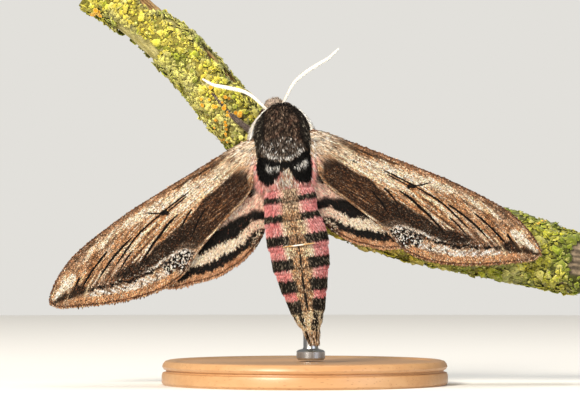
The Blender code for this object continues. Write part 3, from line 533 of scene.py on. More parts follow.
foreMarks = {
    "tan": "#bd916a",
    "pale": "#fbe4c9",
    "cream": "#ffe9c2",
    "umber": "#54392a",
    "warm": "#a9764c",
    "costa": "#8a664c",
    "greyBrown": "#8f7a69",
    "chocolate": "#1c120b",
    "patchBrown": "#3f291c",
    "black": "#080504",
    "white": "#fff5e8",
    "terminal": "#b98a64",
    "marginLine": "#4c3021",
    "palestreaks": [
        ([(-0.6, 1.6), (2.9, 1.6), (7, 1.8), (10.7, 1.5), (15.6, 0.3), (19.4, -0.5), (24.3, -1.3),
          (29.3, -1.8)], 2.5, 0.85),
        ([(8, 2.6), (12, 2.5), (16, 2.2), (20, 2.2), (23, 2.4)], 1.5, 0.7),
        ([(22, -1.6), (28, -2.2), (34, -2.4), (38, -2.3)], 1.2, 0.45),
    ],
    "creamLines": [
        ([(1, 2.9), (5, 3.1), (9, 3.2), (13, 3.1), (16.5, 3.5)], 0.4),
        ([(0, 2.2), (5, 2.3), (10, 2.3)], 0.25),
        ([(0, 0.9), (5, 0.7), (11, 0.4)], 0.25),
        ([(22.4, 1.3), (26, 1.4), (29.5, 1.9), (32, 2.5)], 0.45),
    ],
    "patch": [(3, 5.4), (3.3, 4.4), (4.8, 3.8), (7.8, 3.6), (10.3, 3.9), (12.5, 3.7), (14.4, 4),
              (17.2, 4.6), (19.3, 5.2), (21.3, 4.9), (23.4, 5), (25.8, 4.9), (28, 5.1), (30.1, 5.5),
              (31.7, 5.2), (33.3, 4.7), (35, 4.3), (36.6, 4.1), (37.2, 4.9), (36.2, 5.8), (35, 6.5),
              (33.4, 7.2), (31.3, 7.7), (29, 7.9), (26.4, 8.1), (24, 8.7), (22.2, 9.8), (20.6, 10.5),
              (18, 10.1), (14.6, 9.7), (11.2, 9.2), (7.8, 8.8), (5.5, 8), (4, 6.9)],
    "patchOuter": [(28, 4.4), (32, 3.7), (36, 3.0), (40, 2.4), (43.6, 2.6), (43.9, 3.3), (42.3, 3.7),
                   (40.3, 4.6), (38.8, 5.6), (37.6, 5.9), (36.4, 6.6), (33, 7.6), (29, 7.8)],
    "blackStreaks": [
        ([(15.2, 0.75), (18, 0.65), (20, 0.6), (22, 0.6)], 0.3),
        ([(16, 1.15), (18.5, 1.15), (21.4, 1.1)], 0.26),
        ([(21.6, 0.6), (25, 0.65), (28, 0.85), (30.4, 1.3), (32.8, 1.95), (35.4, 2.7)], 0.34),
        ([(21.8, 0.6), (23, -0.1), (24.3, -1.3)], 0.26),
        ([(29.6, 0.5), (32.3, 0.8), (34.5, 1.15), (37, 1.7), (39.9, 2.6)], 0.44),
        ([(35, -0.5), (37.5, 0), (40, 0.6), (42.2, 1.3), (44, 2)], 0.4),
        ([(19.6, 2.85), (22.4, 3.1), (25.2, 3.8), (27.5, 4.3), (30, 5.2)], 0.5),
        ([(29.4, 4.9), (31.2, 5.7)], 0.4),
        ([(16.8, 3.85), (18.5, 4.3), (20.6, 5.2)], 0.38),
        ([(14.6, 5.4), (17.5, 6.5), (20.2, 7.9)], 0.3),
        ([(31, 2.6), (33.4, 3.2), (35.6, 4)], 0.28),
        ([(1.1, 1.35), (2.1, 1.35)], 0.28),
        ([(3.2, 1.45), (4.3, 1.4)], 0.28),
        ([(8.4, 2.1), (9.4, 2.1)], 0.18),
        ([(43, 0.0), (44.6, 0.8)], 0.45),
    ],
    "faintStreaks": [
        ([(30.5, -1.7), (35, -1.5), (39, -1.2)], 0.24),
        ([(33, -3.3), (39, -3.3), (45.5, -2.5)], 0.22),
        ([(24, 1.9), (28, 2.3), (31, 3)], 0.22),
        ([(27, 3.1), (30, 3.7), (33, 4.4)], 0.22),
        ([(36, 2.9), (38.5, 3.6)], 0.25),
        ([(12.5, 1.2), (15.5, 1.3)], 0.16),
        ([(2.5, 0.3), (8.3, -0.35), (14.1, -1.1), (18.5, -1.9)], 0.5),
    ],
    "subterminal": [(43.9, 3.3), (42.3, 3.7), (40.3, 4.6), (38.8, 5.6), (37.6, 5.9), (36.4, 6.6),
                    (35.2, 7.3), (33.6, 7.7), (31.8, 8), (30, 8.6), (28.4, 8.7), (26.6, 9), (25, 9.6)],
    "scallop": [(44.3, 4.2), (41.9, 5.3), (39.8, 6.6), (38.2, 7.2), (36, 8.4), (33.4, 9.2), (31, 9.9),
                (29, 10.6), (27, 11.2), (25.2, 11.2)],
    "frosted": [(22, 9.5), (24, 8), (28, 7), (33, 6.5), (37, 5), (41, 3.6), (44, 3), (44, 5.4), (40, 7.5),
                (36, 9), (32, 10.5), (27, 11.6), (23.5, 11.2)],
    "notches": [[(27.6, 10.0), (28.9, 11.3)], [(30.4, 9.3), (31.9, 10.8)], [(33.6, 8.4), (35.2, 10.0)],
                [(37.0, 7.2), (38.5, 8.6)], [(39.8, 6.1), (41.3, 7.4)]],
    "insideLine": [(21.9, 10.3), (23.4, 9.1), (25.5, 8.5), (28, 8.15), (30.5, 7.95), (33, 7.4)],
    "mottled": [(21.9, 10.6), (23, 9.2), (25, 8.7), (27, 8.7), (28.9, 9.2), (28.7, 10.6), (27.6, 11.7),
                (26, 12.6), (23.6, 11.8), (22.4, 11.2)],
    "apexPale": [(43.2, -0.9), (44.2, -1.5), (45.9, -1.35), (48.2, -0.75), (50, -0.15), (50.4, 0.3),
                 (49.6, 0.45), (48.1, 0.25), (46.3, 0.45), (44.4, 0.1)],
    "apexDark": [
        [(47, 0.75), (49, 0.5), (50.5, 0.45), (50.1, 1.2), (48.6, 1.6), (47.4, 1.4)],
        [(44.6, 0.6), (46.4, 1.0), (47.9, 1.7), (47.2, 2.3), (45.8, 2.6), (44.2, 3.3), (42.6, 3.4),
         (43.6, 1.9)],
    ],
    "paleLines": [([(45.2, 0.2), (46.9, 1.2), (48.5, 2.4)], 0.16),
                  ([(40.7, 1.9), (42.6, 2.5), (45.2, 3.9)], 0.18)],
}


def forewingColour(s, t):
    # the upper side's markings, without the single odd scales that are strewn on top
    m = foreMarks
    # the streaks run out from the hinge and bend back towards the outer margin
    fan = t - 0.0048 * np.maximum(s - 10, 0) ** 2
    x = s + 0.5 * (softNoise(0.9 * s, 5 * t, 1) - 0.5)
    y = t + 0.26 * (softNoise(1.3 * s, 4 * t, 2) - 0.5)
    fine = softNoise(0.28 * s, 4 * fan, 3)
    finer = softNoise(0.7 * s, 7 * fan, 15)
    broad = softNoise(0.2 * s, 1.4 * fan, 4)
    colour = lay(m["tan"], m["warm"], 0.8 * ramp(fine, 0.5, 0.8))
    colour = layers(colour, [
        (m["umber"], 0.7 * ramp(finer, 0.58, 0.82)),
        (m["pale"], 0.8 * ramp(fine, 0.45, 0.15)),
        (m["greyBrown"], 0.5 * ramp(broad, 0.45, 0.75) * ramp(s, 24, 36))])
    for route, width, strength in m["palestreaks"]:
        hairs = 0.4 + 0.6 * ramp(softNoise(0.35 * s, 6 * fan, 5), 0.3, 0.6)
        colour = lay(colour, m["pale"], strength * hairs * streak(x, y, route, width, 0.9, 0.3))
    margin, along = nearLine(s, t, foreShape["costaEven"][::4])
    brown = ramp(margin, 1.35, 0.75) * ramp(s, 50, 40)
    colour = lay(colour, m["costa"], (0.45 + 0.4 * broad) * brown)
    colour = drawn(colour, x, y, m["faintStreaks"], m["chocolate"], 0.6, 0.2)
    colour = drawn(colour, x, y, m["creamLines"], m["cream"], 0.85, 0.2)
    outer = patch(x, y, m["patchOuter"], 1.2) * ramp(fine + 0.4 * finer, 0.35, 0.75)
    colour = lay(colour, m["patchBrown"], 0.75 * outer)
    inPatch = patch(x, y, m["patch"], 0.5)
    dark = np.maximum(ramp(y - 0.12 * x, 3.6, 1.8), ramp(s, 13, 22))
    body = lay(m["patchBrown"], m["chocolate"], 0.35 + 0.7 * dark * (0.7 + 0.4 * fine))
    body = lay(body, m["warm"], 0.65 * ramp(finer, 0.55, 0.85) * (1 - 0.85 * dark))
    colour = lay(colour, body, inPatch * (0.88 + 0.12 * fine))
    colour = drawn(colour, s, t, m["blackStreaks"], m["black"], 1.0, 0.1)
    colour = layers(colour, [
        (m["black"], spot(s, t, (21.6, 0.75), (0.75, 0.5))),
        (m["black"], spot(s, t, (21.2, 1.35), (0.35, 0.45)))])
    dots = softNoise(7.5 * s, 9 * t, 17)
    frost = np.maximum(0.35 * ramp(s, 16, 26) * inPatch, patch(x, y, m["frosted"], 1.2))
    colour = lay(colour, m["white"], 0.8 * frost * ramp(dots, 0.76, 0.84))
    edge, along = nearLine(s, t, foreShape["termenEven"][::4])
    rough = edge + 0.5 * (softNoise(2.6 * s, 2.6 * t, 6) - 0.5)
    colour = layers(colour, [
        (m["greyBrown"], 0.4 * ramp(rough, 4.4, 3.4) * ramp(s, 46, 42)),
        (m["white"], 0.8 * streak(x, y, m["insideLine"], 0.6, 0.35))])
    broken = 0.35 + 0.65 * ramp(softNoise(1.7 * s, 1.7 * t, 7), 0.2, 0.5)
    comb = softNoise(4.6 * (s + 0.5 * t), 0.8 * t, 18)
    shift = 0.7 * (comb - 0.5)
    colour = layers(colour, [
        (m["white"], 0.9 * ramp(comb, 0.3, 0.65) * streak(x, y + shift, m["scallop"], 1.5, 0.4, 0.1)),
        (m["black"], broken * streak(x, y + shift, m["subterminal"], 0.62, 0.2, 0.08))])
    for route in m["notches"]:
        colour = lay(colour, m["chocolate"], 0.75 * streak(x, y, route, 0.26, 0.15))
    mottle = patch(x, y, m["mottled"], 0.5)
    colour = layers(colour, [
        (m["white"], 0.75 * mottle),
        (m["black"], mottle * ramp(softNoise(4.2 * s, 3.6 * t, 8), 0.4, 0.5)),
        (m["terminal"], ramp(rough, 2.0, 1.55) * ramp(s, 50.5, 46) * ramp(s, 25.6, 28.2))])
    for outline in m["apexDark"]:
        colour = lay(colour, m["chocolate"], (0.7 + 0.3 * finer) * patch(x, y, outline, 0.5))
    colour = lay(colour, m["pale"], 0.95 * patch(s, y, m["apexPale"], 0.15))
    colour = drawn(colour, s, t, m["paleLines"], m["cream"], 0.6)
    inner, along = nearLine(s, t, foreShape["innerEven"][::4])
    threads = ramp(softNoise(0.8 * s, 3 * t, 16), 0.3, 0.6)
    colour = layers(colour, [
        (m["cream"], 0.4 * threads * ramp(inner, 0.35, 0.12) * ramp(s, 3, 6)),
        (m["pale"], 0.7 * ramp(s, 3.0, 0.8)),
        (m["marginLine"], 0.9 * ramp(np.abs(edge - 0.3), 0.2, 0.1)),
        (m["marginLine"], 0.8 * ramp(margin, 0.4, 0.2))])
    combed = softNoise(0.5 * s, 6 * fan, 19)
    grain = ramp(softNoise(4.2 * s, 5.2 * fan, 21), 0.25, 0.75) - 0.5
    tone = np.interp(s, (2, 8, 15), (0.92, 1.0, 1.07)) - 0.12 * inPatch + 0.42 * (combed - 0.5)
    tone = tone + np.interp(s, (2, 15), (0.1, 0.36)) * grain
    return np.clip(colour * tone[:, None], 0, 1)


underMarks = {"ground": "#9a7c66", "pale": "#c4a68c", "middle": "#5f4a3b", "margin": "#b48b6b",
              "line": "#4c3021", "route": [(6, 4), (20, 4.5), (32, 4.4), (40, 4)]}


def forewingUnder(s, t):
    # the underside: plain grey-brown with a dark middle and a paler margin
    m = underMarks
    colour = lay(m["ground"], m["pale"], ramp(softNoise(0.5 * s, 3 * t, 9), 0.4, 0.8))
    colour = lay(colour, m["middle"], 0.7 * streak(s, t, m["route"], 4.5, 3.0, 0.3))
    edge, along = nearLine(s, t, foreShape["termenEven"][::4])
    colour = lay(colour, m["margin"], 0.8 * ramp(edge, 2.6, 1.8))
    return lay(colour, m["line"], 0.7 * ramp(np.abs(edge - 0.42), 0.2, 0.1))


# Hindwing markings, by the distance in from the outer margin

hindMarks = {
    "tan": "#d0a07a",
    "tanDark": "#9c6844",
    "black": "#0c0907",
    "cream": "#fbe4c8",
    "pink": "#ffbdaa",
    "buff": "#fbe3cd",
    "places": (1.0, 3.4, 6.5, 9.5, 13.0, 16.0),
    "bands": ((0.75, 0.95, 1.35, 1.55, 1.65, 1.5), (1.9, 2.2, 2.75, 3.1, 3.3, 3.0),
              (4.05, 3.95, 4.45, 5.45, 5.6, 5.4), (5.3, 5.45, 6.75, 8.05, 8.95, 9.1)),
    "line": "#4a2a1c",
    "underside": "#c9a28a",
}


def hindwingColour(a, b, upper=True):
    m = hindMarks
    edge, along = nearLine(a, b, hindShape["termenEven"][::4])
    hairs = softNoise(5.5 * along * 26, 0.35 * edge, 10) - 0.5
    rough = edge + 0.95 * hairs + 0.4 * (softNoise(0.9 * a, 0.9 * b, 11) - 0.5)
    one, two, three, four = (np.interp(a, m["places"], band) for band in m["bands"])
    nearBody = ramp(a, 6.5, 1.5)
    paleBand = lay(m["cream"], m["pink"], 0.6 * nearBody)
    base = lay(m["buff"], m["pink"], 0.25 + 0.5 * nearBody)
    colour = lay(m["tan"], m["tanDark"],
                 0.6 * ramp(softNoise(1.6 * a, 1.6 * b, 12), 0.45, 0.7))
    colour = layers(colour, [
        (m["black"], ramp(rough, one - 0.15, one + 0.15)),
        (paleBand, ramp(rough, two - 0.2, two + 0.2)),
        (m["black"], ramp(rough, three - 0.2, three + 0.2)),
        (base, ramp(rough, four - 0.4, four + 0.4)),
        (m["black"], 0.95 * spot(a, b + 0.6 * hairs, (1.3, 3.0), (1.5, 0.95)))])
    frosted = lay(m["black"], m["cream"], ramp(softNoise(4.5 * a, 4.5 * b, 14), 0.56, 0.66))
    colour = lay(colour, frosted, 0.85 * ramp(a, 4.0, 2.6) * ramp(edge, 2.1, 1.5))
    if not upper:
        colour = lay(colour, m["underside"], 0.6)
    return lay(colour, m["line"], 0.85 * ramp(np.abs(edge - 0.38), 0.2, 0.1))


def hindwingUnder(a, b):
    return hindwingColour(a, b, False)


# dusty overlapping plates: matt, with hardly any bloom
foreCoat = scaledCoat("matt forewing scales", 0.8, 0.02, 0.35, 0.05)
# longer and softer plates, which shine a little more at a low angle
hindCoat = scaledCoat("silky hindwing scales", 0.75, 0.04, 0.35, 0.05)


foreShape.update(word="forewing", coat=foreCoat, slot="wing_scales")
hindShape.update(word="hindwing", coat=hindCoat, slot="hindwing_scales")


def wingSkin(shape, side, upperColour, underColour):
    # a fine grid extruded to a thin plate, bent to the wing's sheet and raised over its veins
    along, across = shape["skinGrid"]
    work = bmesh.new()
    tint = work.verts.layers.float_color.new("scaleColour")
    bmesh.ops.create_grid(work, x_segments=along, y_segments=across, size=1.0)
    top = list(work.verts)
    made = bmesh.ops.extrude_face_region(work, geom=list(work.faces))
    under = [item for item in made["geom"] if isinstance(item, bmesh.types.BMVert)]
    inset = wing["fringe"] / shape["length"]
    for verts, sign, colourOf in ((top, -1, upperColour), (under, 1, underColour)):
        flat = np.array([vert.co for vert in verts])
        u = (flat[:, 0] + 1) / 2 * (1 - inset)
        v = 0.006 + 0.988 * (flat[:, 1] + 1) / 2
        marks = onSheet(shape, u, v)
        spots = inSpace(shape, side, marks)
        spots[:, 1] += sign * skinHeight(shape, u, v)
        # the skin's colours are the markings at 0.82: painted shade where the skin shows between the scales
        colours = linear(colourOf(marks[:, 0], marks[:, 1]) * 0.82)
        for vert, spot, colour in zip(verts, spots, colours):
            vert.co = spot * mm
            vert[tint] = (*colour, 1.0)
    name = shape["word"] + "Skin_" + side
    place(name, meshOf(work, name), shape["coat"], shape["slot"], [shape["word"] + "_" + side])


def wingSpots(shape, side, u, v, upper):
    # points on one face of a wing, with the way its scales lie and the way out of the face
    ahead = inSpace(shape, side, onSheet(shape, np.clip(u + 0.002, 0, 1), v))
    behind = inSpace(shape, side, onSheet(shape, np.clip(u - 0.002, 0, 1), v))
    front = inSpace(shape, side, onSheet(shape, u, np.clip(v - 0.004, 0, 1)))
    rear = inSpace(shape, side, onSheet(shape, u, np.clip(v + 0.004, 0, 1)))
    lie = unit(ahead - behind)
    out = unit(np.cross(lie, rear - front))
    out *= np.where(out[:, 1] < 0, 1, -1)[:, None] * (1 if upper else -1)
    flat = onSheet(shape, u, v)
    spots = inSpace(shape, side, flat) + out * skinHeight(shape, u, v)[:, None]
    return flat, spots, lie, out


def wingRows(shape, gapAlong, gapAcross, draw):
    # u and v of rows of scales, staggered and a little uneven
    count = int(shape["length"] / gapAlong)
    us, vs = [], []
    for row in range(count):
        u = (row + 0.5) / count * (1 - wing["fringe"] / shape["length"])
        number = max(int(chordAt(shape, np.array([u]))[0] / gapAcross), 3)
        v = (np.arange(number) + 0.25 + 0.5 * (row % 2)) / number
        us.append(u + draw.uniform(-0.45, 0.45, number) / count)
        vs.append(v + draw.uniform(-0.4, 0.4, number) / number)
    return np.clip(np.concatenate(us), 0, 1), np.clip(np.concatenate(vs), 0.002, 0.998)


def wingScales(shape, side, upper, colourOf, tones, size):
    name = shape["word"] + ("Scales_" if upper else "UnderScales_") + side
    draw = np.random.default_rng(len(name) + 7 * upper)
    u, v = wingRows(shape, size["gapAlong"], size["gapAcross"], draw)
    flat, root, lie, out = wingSpots(shape, side, u, v, upper)
    number = len(u)
    aside = np.cross(lie, out)
    lie = unit(lie + aside * draw.normal(0, 0.14, (number, 1)))
    seen = onSheet(shape, u + 0.6 * size["length"] / shape["length"], v)
    colours = speckle(colourOf(seen[:, 0], seen[:, 1]), draw, *tones)
    shapes = scales(root, lie, out, size["length"] * draw.uniform(0.8, 1.2, number),
                    size["width"] * draw.uniform(0.8, 1.15, number),
                    size["lift"] * draw.uniform(0.5, 1.5, number))
    joined(name, shapes, "scale", colours, wingUnwrap(u, v, upper), shape["coat"], shape["slot"])


def edgeSpots(shape, side, edge, shares, inwards):
    # points a little inside a margin, with the way straight out across that margin
    rows = readEdge(shape, edge, shares)
    ahead = wayAlong(lambda place: readEdge(shape, edge, place), shares, 0.01)
    square = unit(np.stack([ahead[:, 1], -ahead[:, 0]], axis=1))
    centre = onSheet(shape, np.array([0.5]), np.array([0.5]))
    square *= np.where(np.sum((rows - centre) * square, axis=1) > 0, 1, -1)[:, None]
    flat = rows - square * inwards[:, None]
    spots = inSpace(shape, side, flat)
    lie = unit(inSpace(shape, side, flat + 0.1 * square) - spots)
    out = np.tile((0.0, -1.0, 0.0), (len(shares), 1))
    return flat, spots, lie, unit(out - lie * np.sum(out * lie, axis=1)[:, None])


def edgeUnwrap(edge, shares):
    v = {"costa": np.zeros_like(shares), "inner": np.ones_like(shares), "termen": shares}[edge]
    u = np.ones_like(shares) if edge == "termen" else shares
    return wingUnwrap(u, v, True)


def wingFringe(shape, side, plan):
    # hair-like scales that stand out past the margins, in layers on both faces
    name = shape["word"] + "Fringe_" + side
    draw = np.random.default_rng(len(name) + 31)
    parts, tints, unwraps = [], [], []
    for edge, gap, length, width, twoTones, streaky in plan:
        distance = lengthOf(shape[edge + "Even"])
        for layer in range(3):
            number = int(distance / gap)
            shares = (np.arange(number) + draw.uniform(0, 1, number)) / number
            inwards = 0.12 + 0.16 * layer + draw.uniform(0, 0.15, number)
            flat, spots, lie, out = edgeSpots(shape, side, edge, shares, inwards)
            spots = spots + out * (0.07 * (layer - 1))
            outward = inSpace(shape, side, flat + np.array((0.1, 0.0))) - inSpace(shape, side, flat)
            lie = unit(lie + streaky * unit(outward) + 0.07 * draw.normal(0, 1, (number, 3)))
            corner = 1 - 0.6 * ramp(shares, 0.78, 0.92) if shape is hindShape else 1.0
            long = length * corner * draw.uniform(0.82, 1.06, number)
            parts.append(tufts(spots, lie, out, long, width, 0.02, 0.03))
            mix = ramp(softNoise(shares * distance / 0.9, shares * 0, 13), 0.3, 0.7)
            base = lay(twoTones[0], twoTones[1], mix)
            tints.append(speckle(base, draw, *fringeTones[:2], twoTones[1], fringeTones[2]))
            unwraps.append(edgeUnwrap(edge, shares))
    joined(name, parts, "tuft", tints, unwraps, shape["coat"], shape["slot"])


def wingHair(shape, side, plan, colourOf):
    # long hair combed out over the wing from its base, in pale, golden and dark strands
    draw = np.random.default_rng(plan["seed"])
    number = plan["number"]
    far = draw.random(number) ** 1.4
    u = plan["reach"] * far
    v = draw.uniform(*plan["across"], number)
    flat, root, lie, out = wingSpots(shape, side, u, v, True)
    way = unit(unit(flat - np.array(plan["hub"])) + draw.normal(0, 0.07, (number, 2)))
    lie = unit(inSpace(shape, side, flat + 0.1 * way) - inSpace(shape, side, flat))
    long = draw.uniform(*plan["length"], number) * (1 - 0.5 * far)
    strand = softNoise(plan["strands"] * np.arctan2(way[:, 1], way[:, 0]) * 2.2, 0.8 * far, 29)
    combed = lay(plan["gold"], plan["pale"], ramp(strand, 0.4, 0.58))
    combed = layers(combed, [
        (plan["dark"], 0.85 * (draw.random(number) < plan["darkShare"])),
        (plan["pink"], 0.8 * ramp(v, 0.66, 0.95) * (draw.random(number) < 0.7))])
    seen = onSheet(shape, u + 0.5 * long / plan["run"], v)
    colours = lay(colourOf(seen[:, 0], seen[:, 1]), combed, plan["cover"] * ramp(far, 1.0, 0.35))
    colours = uneven(colours, draw, 0.75, 1.25)
    shapes = tufts(root, lie, out, long, draw.uniform(*plan["width"], number), plan["lift"], 0.04)
    joined(shape["word"] + "Hair_" + side, shapes, "tuft", shaded(colours, (0.8, 0.98, 1.0)),
           wingUnwrap(u, v, True), shape["coat"], shape["slot"])


def sheetPlace(shape, flat):
    # u and v of points given in wing coordinates, from the nearest spot of a fine net
    us, vs = (grid.ravel() for grid in np.meshgrid(np.linspace(0, 1, 320), np.linspace(0, 1, 120)))
    net = onSheet(shape, us, vs)
    best = np.array([np.argmin(np.sum((net - spot) ** 2, axis=1)) for spot in flat])
    return us[best], vs[best]


def wingLines(side):
    # narrow scales in single file that draw the black streaks crisply
    draw = np.random.default_rng(drawnLines["seed"])
    flats, ways = [], []
    for route, width in foreMarks["blackStreaks"]:
        long = lengthOf(smoothRows(route, 60))
        count = int(long / drawnLines["gap"] * max(width / 0.3, 0.7))
        share = draw.uniform(0, 1, count)
        way = unit(wayAlong(lambda place: evenRows(route, place), share, 0.02))
        taper = np.sqrt(np.clip(np.minimum(share, 1 - share) / 0.25, 0, 1))
        aside = (width - drawnLines["width"]) * taper * draw.uniform(-0.5, 0.5, count)
        flats.append(evenRows(route, share) + aside[:, None] * np.stack([-way[:, 1], way[:, 0]], axis=1))
        ways.append(way)
    flat, way = np.concatenate(flats), np.concatenate(ways)
    u, v = sheetPlace(foreShape, flat)
    near, root, lie, out = wingSpots(foreShape, side, u, v, True)
    root = root + inSpace(foreShape, side, flat) - inSpace(foreShape, side, near)
    lie = unit(inSpace(foreShape, side, flat + 0.1 * way) - inSpace(foreShape, side, flat))
    number = len(flat)
    shapes = scales(root, lie, out, drawnLines["length"] * draw.uniform(0.7, 1.2, number),
                    drawnLines["width"] * draw.uniform(0.8, 1.1, number),
                    drawnLines["lift"] * draw.uniform(0.7, 1.2, number))
    colours = plain(number, foreMarks["black"]) * draw.uniform(0.8, 1.4, (number, 1))
    joined("forewingLines_" + side, shapes, "scale", colours, wingUnwrap(u, v, True), foreCoat,
           "wing_scales")


foreTones = ("#fff3e2", "#1c130d", "#b4714a", (0.09, 0.13, 0.08))
hindTones = ("#fbe9d8", "#20120e", "#c9785c", (0.05, 0.05, 0.03))
underTones = ("#e5d2bf", "#5a4435", "#b27d5e", (0.1, 0.08, 0.08))
foreFine = {"gapAlong": 0.225, "gapAcross": 0.165, "length": 0.4, "width": 0.16, "lift": 0.07}
hindFine = {"gapAlong": 0.26, "gapAcross": 0.15, "length": 0.55, "width": 0.13, "lift": 0.08}
underFine = {"gapAlong": 0.46, "gapAcross": 0.36, "length": 0.75, "width": 0.36, "lift": 0.07}
# the fringes' odd pale and dark hairs, and the shares of pale, dark and warm ones
fringeTones = ("#f0dcc6", "#5c3a28", (0.12, 0.12, 0.1))
foreFringe = [("termen", 0.11, 0.46, 0.1, ("#c79a72", "#7b5339"), 0.0),
              ("costa", 0.13, 0.32, 0.1, ("#8a6448", "#3f2a1d"), 1.6),
              ("inner", 0.12, 0.55, 0.09, ("#dcbb9a", "#8f6d52"), 0.8)]
hindFringe = [("termen", 0.12, 0.44, 0.1, ("#f0d8bd", "#cd946c"), 0.0),
              ("inner", 0.12, 1.2, 0.12, ("#f6cbb8", "#e2a090"), 0.6)]
foreHair = {"seed": 71, "number": 3100, "reach": 0.2, "across": (0.03, 0.97), "length": (1.7, 3.3),
            "width": (0.1, 0.15), "lift": 0.1, "strands": 16, "run": 52, "gold": "#b48f6c",
            "pale": "#fff0dc", "dark": "#4a3220", "darkShare": 0.24, "pink": "#ffc2b6", "cover": 0.85,
            "hub": (-9.0, 3.2)}
hindHair = {"seed": 71, "number": 2000, "reach": 0.5, "across": (0.7, 0.995), "length": (1.2, 2.6),
            "width": (0.1, 0.16), "lift": 0.2, "strands": 14, "run": 13, "gold": "#ffd3c2",
            "pale": "#fff2e4", "dark": "#2a1c18", "darkShare": 0.04, "pink": "#ffbcac", "cover": 0.5,
            "hub": (-5.0, -1.0)}
drawnLines = {"seed": 73, "gap": 0.04, "length": 0.6, "width": 0.15, "lift": 0.13}

for side in sides:
    wingSkin(foreShape, side, forewingColour, forewingUnder)
    wingSkin(hindShape, side, hindwingColour, hindwingUnder)
    wingScales(foreShape, side, True, forewingColour, foreTones, foreFine)
    wingScales(foreShape, side, False, forewingUnder, underTones, underFine)
    wingScales(hindShape, side, True, hindwingColour, hindTones, hindFine)
    wingScales(hindShape, side, False, hindwingUnder, underTones, underFine)
    wingFringe(foreShape, side, foreFringe)
    wingHair(foreShape, side, foreHair, forewingColour)
    wingHair(hindShape, side, hindHair, hindwingColour)
    wingLines(side)
    wingFringe(hindShape, side, hindFringe)
print("wings ready")


# Body: share runs from its front to its rear end, angle from the middle of the back towards +X

thorax = {
    "stations": [(-4.75, -14.0, 56.65, 0.6, 0.5), (-4.75, -13.9, 56.35, 1.8, 1.5),
                 (-4.75, -13.7, 55.5, 3.3, 2.9), (-4.75, -13.5, 54.4, 4.5, 4.0),
                 (-4.75, -13.45, 53.0, 5.45, 4.9), (-4.68, -13.45, 51.3, 6.0, 5.5),
                 (-4.52, -13.5, 49.3, 6.1, 5.8), (-4.35, -13.5, 47.0, 5.85, 5.6),
                 (-4.15, -13.3, 44.6, 5.6, 5.2), (-3.95, -13.1, 41.8, 5.1, 4.6),
                 (-3.7, -13.0, 40.2, 4.4, 3.9), (-3.6, -13.0, 39.5, 3.2, 2.8)],
    "tilt": math.radians(4.4),
    "coat": 0.5,
    "gap": 0.21,
}
abdomen = {
    "stations": [(-3.8, -13.0, 42.6, 3.4, 3.2), (-3.2, -13.0, 39.4, 4.9, 4.6),
                 (-2.9, -13.0, 36.6, 5.3, 4.9), (-2.7, -13.0, 34.4, 5.45, 5.1),
                 (-1.83, -13.0, 31.0, 6.1, 5.6), (-1.1, -12.9, 27.0, 5.95, 5.5),
                 (-0.7, -12.8, 23.8, 5.55, 5.2), (-0.32, -12.6, 20.8, 4.85, 4.6),
                 (0.07, -12.4, 18.4, 4.25, 4.0), (0.45, -12.2, 16.0, 3.6, 3.4),
                 (0.85, -12.0, 13.4, 2.75, 2.6), (1.3, -11.8, 11.4, 1.9, 1.8),
                 (1.85, -11.6, 9.5, 0.95, 0.9), (1.95, -11.5, 8.9, 0.5, 0.45)],
    "tilt": math.radians(7.5),
    "coat": 0.3,
    "gap": 0.23,
    "edges": (41.2, 37.0, 33.1, 28.5, 23.8, 19.3, 15.25, 12.6),
    "lip": 0.03,
}
for part in (thorax, abdomen):
    part["rows"] = smoothRows(part["stations"], 400)
segment = np.searchsorted(-np.array(abdomen["edges"]), -abdomen["rows"][:, 2])
upperEdge = np.array((43.0,) + abdomen["edges"] + (8.0,))
share = (upperEdge[segment] - abdomen["rows"][:, 2]) / (upperEdge[segment] - upperEdge[segment + 1])
abdomen["rows"][:, 3:] *= 1 + abdomen["lip"] * (1.6 * share[:, None] ** 2 - 0.8)


def readRows(rows, share):
    steps = np.linspace(0, 1, len(rows))
    return [np.interp(share, steps, column) for column in rows.T]


def onBody(part, share, angle, lift):
    x, y, z, width, depth = readRows(part["rows"], share)
    across = np.array((math.cos(part["tilt"]), 0.0, math.sin(part["tilt"])))
    reach = np.maximum(width + lift, 0.15)
    back = np.maximum(depth + lift, 0.15)
    spots = np.stack([x, y, z], axis=-1) + (reach * np.sin(angle))[..., None] * across
    spots[..., 1] -= back * np.cos(angle)
    return spots


def bodySpots(part, share, angle, lift):
    # points over the body, with the ways to its rear and out of it
    spots = onBody(part, share, angle, lift)
    rear = unit(onBody(part, share + 0.012, angle, lift) - onBody(part, share - 0.012, angle, lift))
    sideways = onBody(part, share, angle + 0.05, lift) - onBody(part, share, angle - 0.05, lift)
    return spots, rear, unit(np.cross(rear, sideways))


def bodyRoots(part, gap, draw):
    # shares and angles of roots spread evenly over the body
    rows = part["rows"]
    steps = np.linalg.norm(np.diff(rows[:, [2, 3]], axis=0), axis=1)
    along = np.concatenate([[0.0], np.cumsum(steps)])
    count = int(along[-1] / gap)
    shares, angles = [], []
    for k in range(count):
        share = np.interp((k + 0.5) / count * along[-1], along, np.linspace(0, 1, len(rows)))
        width, depth = readRows(rows, share)[3:]
        number = max(int(math.pi * (width + depth) / gap), 6)
        jitter = draw.uniform(-0.5, 0.5, number) * along[-1] / count
        wanted = (k + 0.5) / count * along[-1] + jitter
        shares.append(np.interp(wanted, along, np.linspace(0, 1, len(rows))))
        angles.append((np.arange(number) + draw.uniform(-0.4, 0.4, number)) / number * 2 * math.pi
                      - math.pi)
    return np.concatenate(shares), np.concatenate(angles)


def bodyUnwrap(part, share, angle):
    # the thorax has the lowest third of the map and the abdomen the middle one
    low = mapEdge if part is thorax else 0.36
    return np.stack([mapEdge + mapSpan * (angle / (2 * math.pi) + 0.5), low + 0.31 * share], axis=-1)


# Thorax markings, by x and z in millimetres as seen on the back

